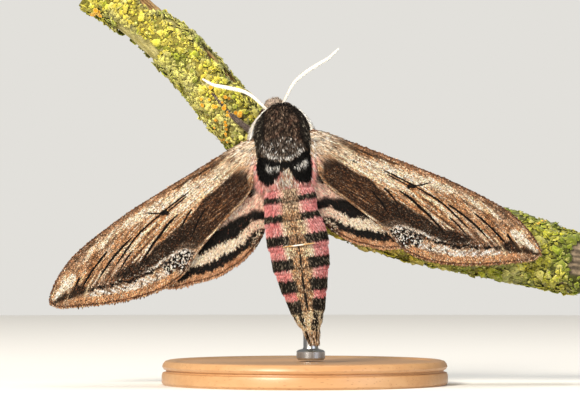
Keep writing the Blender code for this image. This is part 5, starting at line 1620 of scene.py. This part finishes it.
def limbScales(name, routes, radii, gap, tintOf, slot, size):
    draw = np.random.default_rng(len(name) + 60)
    parts, tints, unwraps = [], [], []
    for number, route in enumerate(routes):
        distance = lengthOf(smoothRows(route, 60))
        count = int(distance / gap)
        around = 14
        share = np.repeat((np.arange(count) + 0.5) / count, around)
        share = share + draw.uniform(-0.4, 0.4, count * around) / count
        turn = np.tile(np.arange(around), count) * 2 * math.pi / around
        turn = turn + draw.uniform(-0.2, 0.2, count * around)
        keep = (share > size["from"]) & (share < 0.99)
        share, turn = share[keep], turn[keep]
        root, ahead, out = tubeFrame(route, radii, share, turn, -size["coat"])
        lie = unit(ahead + draw.normal(0, 0.13, (len(share), 3)))
        long = size["length"] * draw.uniform(0.75, 1.3, len(share)) * np.interp(share, (0.3, 1), (1.2, 0.6))
        shapes = tufts(root, lie, out, long, size["width"] * draw.uniform(0.8, 1.2, len(share)),
                       size["lift"], 0.04)
        parts.append(shapes)
        tints.append(shaded(uneven(tintOf(share, draw), draw, 0.8, 1.2)))
        strip = mapEdge + 0.15 * number + 0.13 * (turn % 6.28) / 6.3
        unwraps.append(np.stack([strip, mapEdge + mapSpan * share], axis=1))
    joined(name, parts, "tuft", tints, unwraps, furCoat, slot)


bodySkin()
thoraxFur()
maneFur()
abdomenFur()
membrane()
headFur()
limbScales("legScales", [legRoute(name) for name in legs], legShape["radii"], 0.27, legColour, "leg_scales",
           {"coat": 0.1, "length": 0.45, "width": 0.12, "lift": 0.08, "from": 0.06})
limbScales("palpScales", palpRoutes, headShape["palpRadii"], 0.18, palpColour, "leg_scales",
           {"coat": 0.1, "length": 0.6, "width": 0.15, "lift": 0.16, "from": 0.02})
print("body ready")


# Eyes, antennae, tongue and claws

def headPieces():
    # thousands of tiny lenses: a dark brown ball with one soft, broken highlight
    eyeStuff, tree, shader = newMaterial("dark compound eye", {
        "Roughness": 0.28, "IOR": 1.5, "Coat Weight": 0.35, "Coat Roughness": 0.15})
    where = addNode(tree, "TexCoord")
    clouds = addNode(tree, "TexNoise", None,
                     {"Vector": where.outputs["Object"], "Scale": 1 / (1.6 * mm)})
    tone = addNode(tree, "Mix", {"data_type": "RGBA"},
                   {0: clouds.outputs["Fac"], 6: rgba(headShape["eyeDark"]),
                    7: rgba(headShape["eyeBrown"])})
    # real facets are 0.03 mm; drawn at 0.09 mm so that they show
    facets = addNode(tree, "TexVoronoi", None,
                     {"Vector": where.outputs["Object"], "Scale": 1 / (0.09 * mm), "Randomness": 0.35})
    bump = addNode(tree, "Bump", {"invert": True},
                   {"Height": facets.outputs["Distance"], "Distance": 0.02 * mm, "Strength": 0.5})
    wear(tree, shader, tone, bump)
    for sign, word in ((-1, "left"), (1, "right")):
        work = bmesh.new()
        bmesh.ops.create_icosphere(work, subdivisions=5, radius=headShape["eyeRadius"] * mm)
        middle = inHead((sign * headShape["eyePlace"][0], *headShape["eyePlace"][1:]))
        bmesh.ops.translate(work, verts=work.verts, vec=Vector(middle * mm))
        place("eyeBall_" + word, meshOf(work, "eyeBall_" + word), eyeStuff, "eye", ["eye_" + word])
    # bare chitin: brown and half glossy, like horn
    horn, tree, shader = newMaterial(
        "brown tongue horn", {"Roughness": 0.38, "IOR": 1.54, "Coat Weight": 0.2})
    where = addNode(tree, "TexCoord")
    mottle = addNode(tree, "TexNoise", None,
                     {"Vector": where.outputs["Object"], "Scale": 1 / (0.35 * mm)})
    tone = addNode(tree, "Mix", {"data_type": "RGBA"},
                   {0: mottle.outputs["Fac"], 6: rgba(headShape["hornDark"]),
                    7: rgba(headShape["hornBrown"])})
    bump = addNode(tree, "Bump", None,
                   {"Height": mottle.outputs["Fac"], "Distance": 0.02 * mm, "Strength": 0.5})
    wear(tree, shader, tone, bump)
    turns = np.linspace(0, headShape["coilTurns"] * 2 * math.pi, 40)
    reach = np.linspace(*headShape["coilRadii"], 40)
    middle = headShape["coilCentre"]
    route = inHead(np.stack([np.full(40, middle[0]), middle[1] + reach * np.cos(turns),
                             middle[2] + reach * np.sin(turns)], axis=1))

    def coil(share, turn):
        spots, ahead, out = tubeFrame(route, [headShape["coilTube"]] * 3, share, turn)
        return spots + out * (0.018 * np.cos(share * 2 * math.pi * 62))[:, None]

    place("tongueCoil", rolledTube("tongueCoil", 320, 15, coil), horn, "horn", ["proboscis"])
    work = bmesh.new()
    for name in legs:
        route = legRoute(name)
        tip, before = route[-1], route[-2]
        ahead = unit(tip - before)
        middle = branchFrame(np.array(shareAtX(tip[0])))[0]
        down = unit(middle - tip)
        side = np.cross(ahead, down)
        curls = [[tip - 0.1 * ahead, tip + 0.28 * ahead + sign * 0.16 * side, tip + 0.42 * ahead
                  + sign * 0.24 * side + 0.32 * down] for sign in (-1, 1)]
        knee, shin = evenRows(route, [0.45, 0.6])
        if not name.startswith("foreleg"):
            slope = unit(shin - knee)
            curls += [[shin, shin + 0.7 * slope + sign * 0.35 * side,
                       shin + 1.3 * slope + sign * 0.5 * side]
                      for sign in (-1, 1)]
        for curl in curls:
            mesh = limb("claw", 12, 9, curl, [0.1, 0.08, 0.02], 0.0)
            work.from_mesh(mesh)
            bpy.data.meshes.remove(mesh)
    place("clawsAndSpurs", meshOf(work, "clawsAndSpurs"), horn, "horn", [])


antenna = {
    "left": [(-7.0, -9.0, 55.4), (-8.0, -10.2, 55.9), (-9.1, -10.8, 56.9), (-10.6, -11.0, 58.2),
             (-12.2, -10.9, 59.1), (-14.0, -10.7, 59.6), (-16.0, -10.4, 60.0), (-18.0, -10.1, 60.4),
             (-19.2, -9.9, 60.9), (-20.4, -9.7, 61.6)],
    "right": [(-4.8, -9.0, 56.0), (-4.15, -10.2, 57.2), (-3.4, -10.8, 58.7), (-2.3, -11.1, 60.7),
              (-0.9, -11.1, 62.1), (0.8, -11.0, 63.4), (3.1, -10.8, 64.8), (4.7, -10.6, 65.8),
              (5.9, -10.4, 66.9), (6.7, -10.2, 67.7)],
    "radii": [0.3, 0.32, 0.36, 0.42, 0.42, 0.36, 0.2],
    "ringGap": 0.34,
    "seed": 71,
    "rod": "#f6f0e4",
    "white": "#fffcf4",
    "brown": "#a9814f",
    "brownWay": {"left": (0.25, 0.35, 0.9), "right": (-0.75, 0.5, 0.45)},
}


def antennae():
    # chalk white plates in close rows, with a faint bloom
    chalk = scaledCoat("white antenna scales", 0.7, 0.05, 0.3, 0.02)
    draw = np.random.default_rng(antenna["seed"])
    for word in ("left", "right"):
        route = antenna[word]
        distance = lengthOf(smoothRows(route, 80))
        rings = distance / antenna["ringGap"]
        way = unit(np.array(antenna["brownWay"][word]))

        def brownness(out):
            return ramp(out @ way, 0.45, 0.8)

        def where(share, turn):
            spots, ahead, out = tubeFrame(route, antenna["radii"], share, turn, -0.07)
            saw = (share * rings) % 1.0
            return spots + out * (0.03 * saw - 0.01 + 0.07 * saw * brownness(out))[:, None]

        mesh = rolledTube("antennaRod_" + word, 220, 19, where)
        co = points(mesh)
        normals = np.empty(len(co) * 3, np.float32)
        mesh.vertices.foreach_get("normal", normals)
        setColours(mesh, lay(antenna["rod"], antenna["brown"],
                             brownness(normals.reshape(-1, 3))))
        place("antennaRod_" + word, mesh, chalk, "pale_horn", ["antenna_" + word])
        number = 3600
        share = (np.arange(number) + draw.uniform(0, 1, number)) / number * 0.99
        turn = draw.uniform(0, 2 * math.pi, number)
        root, ahead, out = tubeFrame(route, antenna["radii"], share, turn, -0.07)
        lie = unit(ahead + draw.normal(0, 0.02, (number, 3)))
        brown = brownness(out)
        keep = draw.random(number) > 0.75 * brown
        colours = lay(antenna["white"], antenna["brown"], brown)
        colours = uneven(colours, draw, 0.94, 1.03)
        shapes = scales(root, lie, out, draw.uniform(0.34, 0.44, number), 0.2, 0.03)
        unwrap = np.stack([mapEdge + mapSpan * share, mapEdge + mapSpan * turn / (2 * math.pi)], axis=1)
        joined("antennaScales_" + word, shapes[keep], "scale", colours[keep], unwrap[keep], chalk,
               "pale_horn")


headPieces()
antennae()
print("head pieces ready")


# Branch: bark under a crust of small crowded lichen lobes, with orange spore cups

lichen = {
    "yellow": "#e2cf42",
    "yellowGreen": "#cfc63c",
    "moss": "#84941a",
    "pale": "#dcd67c",
    "lemon": "#dccc4c",
    "rim": "#f4ec9c",
    "old": "#b9b878",
    "bark": "#a49b5e",
    "oldBark": "#8d7c66",
    "barkCrack": "#4f463a",
    "barkGreen": "#c6bd7e",
    "wood": "#b59260",
    "woodDark": "#6a4a26",
    "cupOrange": "#df9a20",
    "cupRim": "#e6d878",
}


# how much bark a share of 1 along the branch and a radian round it stand for, in millimetres
barkSheet = {"length": 118, "girth": 5.2}


def wrapped(field, share, turn):
    # a field over the branch whose two sides meet at the back
    blend = ramp(turn, math.pi - 0.7, math.pi)
    near, far = field(share, turn), field(share, turn - 2 * math.pi)
    return near + (far - near) * (blend[:, None] if near.ndim > 1 else blend)


def lichenColour(share, turn):
    along, around = share * barkSheet["length"], turn * barkSheet["girth"]
    region = softNoise(along / 5.5, around / 5.5, 40)
    inner = softNoise(along / 2.2, around / 2.2, 41)
    colour = lay(lichen["yellowGreen"], lichen["yellow"], ramp(region, 0.48, 0.62))
    colour = layers(colour, [
        (lichen["moss"], 0.85 * ramp(region + 0.3 * inner, 0.46, 0.34)),
        (lichen["pale"], 0.8 * ramp(softNoise(along / 3.3, around / 3.3, 42), 0.68, 0.8))])
    x = readRows(branch["rows"], share)[0]
    # towards its upper left edge the crust is older and greyer
    old = ramp(turn + 0.6 * (inner - 0.5), 0.55, 0.95) * ramp(x, 10, -2)
    colour = layers(colour, [
        (lichen["old"], 0.65 * old),
        (lichen["lemon"], 0.8 * spot(x, turn, (-27.6, 0.35), (3.4, 0.6), 0.6)),
        (lichen["moss"], 0.8 * spot(x, turn, (-25.0, -0.2), (1.7, 0.4), 0.6)),
        (lichen["yellow"], 0.8 * spot(x, turn, (43.5, 1.2), (4.0, 0.6), 0.6)),
        (lichen["moss"], 0.7 * ramp(share, 0.74, 0.86) * ramp(inner, 0.4, 0.6))])
    right = ramp(share, 0.72, 0.86)[:, None]
    return colour * (1 - right * np.array((0.28, 0.24, 0.55)))


def bareness(share, turn):
    # 1 where the bark shows: a smooth stretch below near the upper end, and split wood on top
    x = readRows(branch["rows"], share)[0]
    low = ramp(np.abs(x + 31.8), 4.6, 3.4) * ramp(turn - 0.06 * (x + 32), -0.28, -0.45)
    low = low * ramp(turn, -2.6, -2.2)
    top = ramp(x + 4 * (1.57 - turn), -29.2, -30.2) * ramp(turn, 0.6, 0.75) * ramp(turn, 2.3, 2.0)
    strips = spot(x, turn, (-22.3, 1.15), (1.7, 0.25)) + spot(x, turn, (-18.6, 1.2), (1.7, 0.22))
    crack = ramp(softNoise(share * barkSheet["length"] / 6, turn * barkSheet["girth"] / 1.6, 43), 0.84, 0.9)
    right = ramp(x, 52.9, 54.0) * ramp(np.abs(turn - 0.06), 0.68, 0.5)
    wood = np.clip(top + strips, 0, 1)
    return np.max([low, wood, crack, right], axis=0), wood


def dent(share, turn):
    # the branch is thinner where its bark lies bare
    x = readRows(branch["rows"], share)[0]
    below = np.interp(x, (-42, -38, -33, -26, -19,
                          -15), (0, 0.8, 1.6, 1.0, 0.5, 0)) * ramp(np.abs(turn + 1.3), 1.2, 0.4)
    return below + np.interp(x, (46, 51, 56), (0, 0.9, 1.9)) * ramp(np.abs(turn - 1.5), 1.2, 0.4)


def branchSkin():
    def relief(share, turn):
        along, around = share * barkSheet["length"], turn * barkSheet["girth"]
        bumps = 0.3 * softNoise(along / 2.4, around / 1.3, 44)
        bumps = bumps + 0.14 * softNoise(along / 0.8, around / 0.5, 45)
        bare, wood = bareness(share, turn)
        grooves = 0.25 * wood * np.abs(np.sin(around * 3.4 + 0.6 * softNoise(along / 3, around, 46)))
        return bumps * (1 - 0.75 * bare) - 0.12 * bare - grooves - dent(share, turn)

    def where(share, turn):
        turn = turn - math.pi
        return onBranch(share, turn, wrapped(relief, share, turn))[0]

    mesh = rolledTube("barkSkin", branch["rings"], branch["sides"] + 1, where)
    co = points(mesh)
    share = nearestShare(co)
    base, radius, along, up = branchFrame(share)
    off = co - base
    turn = np.arctan2(np.sum(off * up, axis=1), -off[:, 1])
    bare, wood = bareness(share, turn)
    # the crust under the lobes is the lichen's colour at 0.55: painted shade in the gaps between the lobes
    colours = wrapped(lichenColour, share, turn) * 0.55
    bark = lay(lichen["bark"], lichen["barkGreen"],
               ramp(softNoise(share * 60, turn * 4, 47), 0.3, 0.7))
    grain = softNoise(share * 30, turn * barkSheet["girth"] * 3.2, 49)
    timber = lay(lichen["wood"], lichen["woodDark"], ramp(grain, 0.4, 0.7))
    bark = lay(bark, timber, wood)
    oldBark = lay(lichen["oldBark"], lichen["barkCrack"], ramp(grain, 0.4, 0.7))
    bark = lay(bark, oldBark, ramp(share, 0.9, 0.94))
    setColours(mesh, lay(colours, bark, np.maximum(bare, 0.25)))
    # weathered bark under a thin crust, with fine dark cracks
    stuff = tintedStuff("lichen crusted bark", {"Roughness": 0.9, "IOR": 1.45, "Specular IOR Level": 0.3},
                        0.7, {"Detail": 5.0, "Roughness": 0.65},
                        {"From Min": 0.3, "From Max": 0.7, "To Min": 0.55, "To Max": 1.25}, 0.25, 0.9)
    place("barkSkin", mesh, stuff, "bark", ["perch_branch"])


def branchUnwrap(share, turn):
    return mapEdge + mapSpan * np.stack([share, turn / (2 * math.pi) + 0.5], axis=1)


def nearestShare(co):
    # share along the branch of the middle point nearest to each vertex
    rows = branch["rows"]
    best = np.full(len(co), 1e9)
    share = np.zeros(len(co))
    for k in range(0, len(rows), 2):
        far = np.sum((co - rows[k, :3]) ** 2, axis=1)
        closer = far < best
        best[closer] = far[closer]
        share[closer] = k / (len(rows) - 1)
    return share


def discs(root, out, lean, spin, size, draw, rings):
    # rings of seven points: for each, its reach and its height as shares of the size, then a centre
    face = unit(out + lean)
    one = unit(np.cross(face, (0.3, 0.5, 0.81)))
    two = np.cross(face, one)
    count = len(root)
    ruffle = draw.uniform(0.4, 1.45, (count, ringSides))
    wave = draw.uniform(-0.14, 0.24, (count, ringSides))
    made = []
    for reach, high, ruffled in rings:
        for k in range(ringSides if reach else 1):
            turn = 2 * math.pi * k / ringSides + spin
            wide = size * reach * (1 + ruffled * (ruffle[:, k] - 1))
            flat = one * np.cos(turn)[:, None] + two * np.sin(turn)[:, None]
            rise = size * (high + ruffled * wave[:, k])
            made.append(root + flat * wide[:, None] + face * rise[:, None])
    return np.stack(made, axis=1)


def lichenLobes():
    # foliose lichen: dry matt leaves, mottled finer than their own size
    stuff = tintedStuff("leafy lichen", {"Roughness": 0.85, "IOR": 1.45, "Sheen Weight": 0.1,
                                         "Specular IOR Level": 0.3}, 0.25, {"Detail": 3.0},
                        {"From Min": 0.3, "From Max": 0.7, "To Min": 0.66, "To Max": 1.25}, 0.12, 0.9)
    draw = np.random.default_rng(branch["seed"])
    number = branch["lobes"]
    share = draw.uniform(0.008, 0.992, number)
    turn = draw.uniform(-math.pi, math.pi, number)
    bare, wood = bareness(share, turn)
    keep = draw.random(number) > 1.1 * bare
    share, turn = share[keep], turn[keep]
    number = len(share)
    # every lobe belongs to a rosette, leans away from its middle and shares its tone
    rosettes = branch["rosettes"]
    hubs = np.stack([draw.uniform(0, barkSheet["length"], rosettes),
                     draw.uniform(-math.pi, math.pi, rosettes) * barkSheet["girth"]],
                    axis=1)
    places = np.stack([share * barkSheet["length"], turn * barkSheet["girth"]], axis=1)
    away = places[:, None] - hubs[None]
    nearest = np.argmin(np.sum(away ** 2, axis=2), axis=1)
    away = away[np.arange(number), nearest]
    far = np.linalg.norm(away, axis=1)
    tone = draw.random(rosettes)[nearest]
    size = np.interp(draw.random(number) ** 2.2, (0, 1), branch["lobeSize"])
    size = size * np.interp(far, (0, 3), (0.8, 1.15)) * np.interp(share, (0.3, 0.72), (0.85, 1.0))
    high = 0.05 + draw.uniform(0, 0.45, number) + 0.35 * ramp(size, 0.5, 0.25) * draw.random(number)
    clump = spot(readRows(branch["rows"], share)[0], turn, (41.2, 1.4), (3.2, 0.5), 0.8)
    height = high + 1.5 * clump * draw.uniform(0.5, 1, number) - dent(share, turn)
    root, along, out = onBranch(share, turn, height)
    radial = unit(away[:, :1] * along + away[:, 1:] * np.cross(along, out))
    steep = np.interp(share, (0.7, 0.82), (1.0, 0.5))[:, None]
    lean = steep * radial * draw.uniform(-0.1, 0.6, (number, 1)) + draw.normal(0, 0.15, (number, 3))
    shapes = discs(root, out, -lean, draw.uniform(0, 2 * math.pi, number), size, draw,
                   [(1.0, 0.1, 1.0), (0.0, 0.0, 0.0), (0.8, -0.08, 0.8)])
    colours = lichenColour(share, turn)
    chance = draw.random(number)
    colours = layers(colours, [
        (lichen["pale"], 0.7 * (tone < 0.2)),
        (lichen["old"], 0.6 * (tone > 0.6) * (tone < 0.76)),
        (lichen["moss"], 0.6 * (tone > 0.84)),
        (lichen["yellow"], 0.5 * ((tone > 0.3) & (tone < 0.5))),
        (lichen["pale"], 0.75 * (chance < 0.13)),
        (lichen["moss"], 0.7 * (chance > 0.88))])
    # lobes deep in the crust lie in the shade of the rest
    depth = np.interp(high, (0.05, 0.4), (0.55, 1.12))
    colours = np.clip(colours * (depth * draw.uniform(0.78, 1.2, number))[:, None], 0, 1)
    rows = np.repeat(colours[:, None], shapes.shape[1], axis=1)
    # a paler rim is a painted highlight on each lobe's edge; the darker middle and the underside at half
    # brightness are painted shade
    rims = lay(rows[:, :7].reshape(-1, 3), lichen["rim"], draw.uniform(0, 0.5, number * 7))
    rows[:, :7] = rims.reshape(number, 7, 3)
    rows[:, 7] *= 0.82
    rows[:, 8:] *= 0.5
    unwrap = branchUnwrap(share, turn)
    order = np.array_split(np.argsort(share), 3)
    for word, chosen in zip(("Upper", "Middle", "Lower"), order):
        joined("lichen" + word, shapes[chosen], "lobe", rows[chosen], unwrap[chosen], stuff, "bark")
    # groups of spore cups: x along the branch, turn, their spreads, how many and their sizes
    groups = np.repeat(np.array(branch["cups"]), [row[4] for row in branch["cups"]], axis=0)
    number = len(groups)
    share = shareAtX(groups[:, 0] + groups[:, 2] * draw.normal(0, 1, number))
    turn = groups[:, 1] + groups[:, 3] * draw.normal(0, 1, number)
    root, along, out = onBranch(share, turn, draw.uniform(0.65, 0.9, number) - dent(share, turn))
    size = draw.uniform(groups[:, 5], groups[:, 6])
    lean = draw.normal(0, 0.15, (number, 3))
    shapes = discs(root, out, lean, draw.uniform(0, 2 * math.pi, number), size, draw,
                   [(0.72, 0.16, 0.2), (0.0, 0.06, 0.0), (1.0, 0.3, 0.2), (0.6, -0.5, 0.2)])
    rows = np.repeat(plain(number, lichen["cupOrange"])[:, None], 22, axis=1)
    rows[:, 8:15] = rgb(lichen["cupRim"])
    # the ring under each cup, in the crust's green at 0.7: painted shade beneath the cup
    rows[:, 15:] = rgb(lichen["yellowGreen"]) * 0.7
    rows = np.clip(rows * draw.uniform(0.82, 1.12, (number, 1, 1)), 0, 1)
    joined("sporeCups", shapes, "cup", rows, branchUnwrap(share, turn), stuff, "bark")


branchSkin()
lichenLobes()
print("branch ready")


# Stand: a turned beech base and a steel rod

stand = {
    "profile": [(0.0, 4.7), (25.6, 4.7), (26.0, 4.95), (27.6, 5.0), (28.3, 4.8), (28.75, 4.3),
                (28.9, 3.7), (28.6, 3.2), (28.1, 2.95), (28.15, 2.7), (28.8, 2.5), (29.0, 2.0),
                (29.0, 0.5), (28.6, 0.0), (0.0, 0.0)],
    "rodX": 1.2,
    "grain": "#c49a6c",
    "beech": "#dcb98e",
    "years": "#e6c8a6",
    "flecks": "#96683f",
    "steelDark": "#9b9da0",
    "steelLight": "#c9cbce",
    "rodProfile": [(0.0, 34.6), (1.3, 34.6), (1.5, 34.3), (1.5, 7.6), (1.62, 7.3), (2.6, 7.0), (2.9, 6.7),
                   (2.9, 5.4), (2.6, 5.0), (0.0, 5.0)],
}


def spun(profile, x, steps):
    # a profile of radius and height spun round the upright through x
    work = bmesh.new()
    verts = [work.verts.new(Vector((radius + x, 0.0, height)) * mm) for radius, height in profile]
    edges = [work.edges.new(pair) for pair in zip(verts, verts[1:])]
    bmesh.ops.spin(work, geom=verts + edges, cent=Vector((x, 0.0, 0.0)) * mm, axis=(0, 0, 1),
                   angle=2 * math.pi, steps=steps, use_merge=True)
    bmesh.ops.remove_doubles(work, verts=work.verts, dist=1e-7)
    return work


def turned(name, profile, x, steps):
    mesh = meshOf(spun(profile, x, steps), name)
    mesh.set_sharp_from_angle(angle=math.radians(32))
    return mesh


def buildStand():
    # turned and lacquered beech: pale even grain with short darker flecks under a soft gloss
    beech, tree, shader = newMaterial(
        "lacquered beech", {"Roughness": 0.42, "IOR": 1.5, "Coat Weight": 0.25, "Coat Roughness": 0.25})
    where = addNode(tree, "TexCoord")
    stretch = addNode(tree, "Mapping", None,
                      {"Vector": where.outputs["Object"], "Scale": (0.06, 1.0, 1.0)})
    grain = addNode(tree, "TexNoise", None,
                    {"Vector": stretch.outputs["Vector"], "Scale": 1 / (1.4 * mm), "Detail": 4.0,
                     "Roughness": 0.6})
    years = addNode(tree, "TexNoise", None,
                    {"Vector": stretch.outputs["Vector"], "Scale": 1 / (9 * mm), "Detail": 1.0})
    # beech's ray flecks are 1 to 2 mm long and 0.2 mm wide
    flecks = addNode(tree, "Mapping", None,
                     {"Vector": where.outputs["Object"], "Scale": (0.22, 1.0, 1.0)})
    rays = addNode(tree, "TexVoronoi", None,
                   {"Vector": flecks.outputs["Vector"], "Scale": 1 / (0.5 * mm)})
    dots = addNode(tree, "MapRange", None,
                   {"Value": rays.outputs["Distance"], "From Min": 0.12, "From Max": 0.24, "To Min": 0.55,
                    "To Max": 0.0})
    first = addNode(tree, "Mix", {"data_type": "RGBA"},
                    {0: grain.outputs["Fac"], 6: rgba(stand["grain"]), 7: rgba(stand["beech"])})
    second = addNode(tree, "Mix", {"data_type": "RGBA", "blend_type": "MULTIPLY"},
                     {0: years.outputs["Fac"], 6: first.outputs[2], 7: rgba(stand["years"])})
    third = addNode(tree, "Mix", {"data_type": "RGBA"},
                    {0: dots.outputs["Result"], 6: second.outputs[2], 7: rgba(stand["flecks"])})
    bump = addNode(tree, "Bump", None,
                   {"Height": grain.outputs["Fac"], "Distance": 0.04 * mm, "Strength": 0.3})
    wear(tree, shader, third, bump)
    place("turnedBase", turned("turnedBase", stand["profile"], 0.0, 160), beech, "base_wood",
          ["stand_base"])
    # steel brushed along the rod: long fine lines that stretch the highlight
    steel, tree, shader = newMaterial("brushed steel", {"Metallic": 1.0})
    where = addNode(tree, "TexCoord")
    stretch = addNode(tree, "Mapping", None,
                      {"Vector": where.outputs["Object"], "Scale": (1.0, 1.0, 0.03)})
    lines = addNode(tree, "TexNoise", None,
                    {"Vector": stretch.outputs["Vector"], "Scale": 1 / (0.12 * mm), "Detail": 3.0})
    tone = addNode(tree, "Mix", {"data_type": "RGBA"},
                   {0: lines.outputs["Fac"], 6: rgba(stand["steelDark"]), 7: rgba(stand["steelLight"])})
    gloss = addNode(tree, "MapRange", None,
                    {"Value": lines.outputs["Fac"], "To Min": 0.24, "To Max": 0.42})
    bump = addNode(tree, "Bump", None,
                   {"Height": lines.outputs["Fac"], "Distance": 0.01 * mm, "Strength": 0.4})
    tree.links.new(gloss.outputs["Result"], shader.inputs["Roughness"])
    wear(tree, shader, tone, bump)
    place("steelRod", turned("steelRod", stand["rodProfile"], stand["rodX"], 48), steel, "rod_steel",
          ["stand_rod"])


buildStand()
print("stand built")


# Stage, light and camera

def openStage():
    # a round, pale table top with a soft edge, open on every side
    profile = [(0, 0), (592, 0), (600, -8), (592, -16), (0, -16)]
    mesh = meshOf(spun(profile, 0.0, 96), "paperFloor", False)
    made, tree, shader = newMaterial("pale matt paper", {"Base Color": rgba("#efede8"), "Roughness": 0.9})
    mesh.materials.append(made)
    floor = bpy.data.objects.new("paperFloor", mesh)
    bpy.context.scene.collection.objects.link(floor)


lamps = {
    "keyLight": ((-0.48, -0.88, 0.6), 0.4, 17.0, "#fff5e6"),
    "fillLight": ((0.7, -0.65, 0.35), 0.6, 2.5, "#eef4ff"),
    "topLight": ((0.05, 0.1, 0.9), 0.4, 4.0, "#ffffff"),
}
camera = {"place": (-0.003, -0.912, 0.036), "focusDistance": 0.9, "viewWidth": 0.116, "sensor": 36.0}


def addLight(name, spot, size, power, colour):
    lamp = bpy.data.lights.new(name, "AREA")
    lamp.shape = "DISK"
    lamp.size = size
    lamp.energy = power
    lamp.color = linear(colour)
    holder = bpy.data.objects.new(name, lamp)
    holder.location = spot
    holder.rotation_euler = (Vector((0, 0, 0.04)) - Vector(spot)).to_track_quat("-Z", "Y").to_euler()
    bpy.context.scene.collection.objects.link(holder)


def addCamera():
    eye = bpy.data.cameras.new("photoView")
    eye.sensor_width = camera["sensor"]
    eye.lens = camera["sensor"] * camera["focusDistance"] / camera["viewWidth"]
    eye.clip_start = 0.01
    holder = bpy.data.objects.new("photoView", eye)
    holder.location = camera["place"]
    holder.rotation_euler = (math.pi / 2, 0, 0)
    bpy.context.scene.collection.objects.link(holder)
    bpy.context.scene.camera = holder


def addWorld():
    world = bpy.data.worlds.new("softRoom")
    world.use_nodes = True
    # the room looks near white to the camera, and lights the model only faintly
    tree = world.node_tree
    back = tree.nodes["Background"]
    back.inputs["Color"].default_value = rgba("#e2e0db")
    ray = addNode(tree, "LightPath")
    strength = addNode(tree, "MapRange", None,
                       {"Value": ray.outputs["Is Camera Ray"], "To Min": 0.36, "To Max": 1.0})
    tree.links.new(strength.outputs["Result"], back.inputs["Strength"])
    bpy.context.scene.world = world


openStage()
addCamera()
addWorld()
for name, settings in lamps.items():
    addLight(name, *settings)
bpy.context.scene.view_settings.view_transform = "Standard"
print("stage ready")
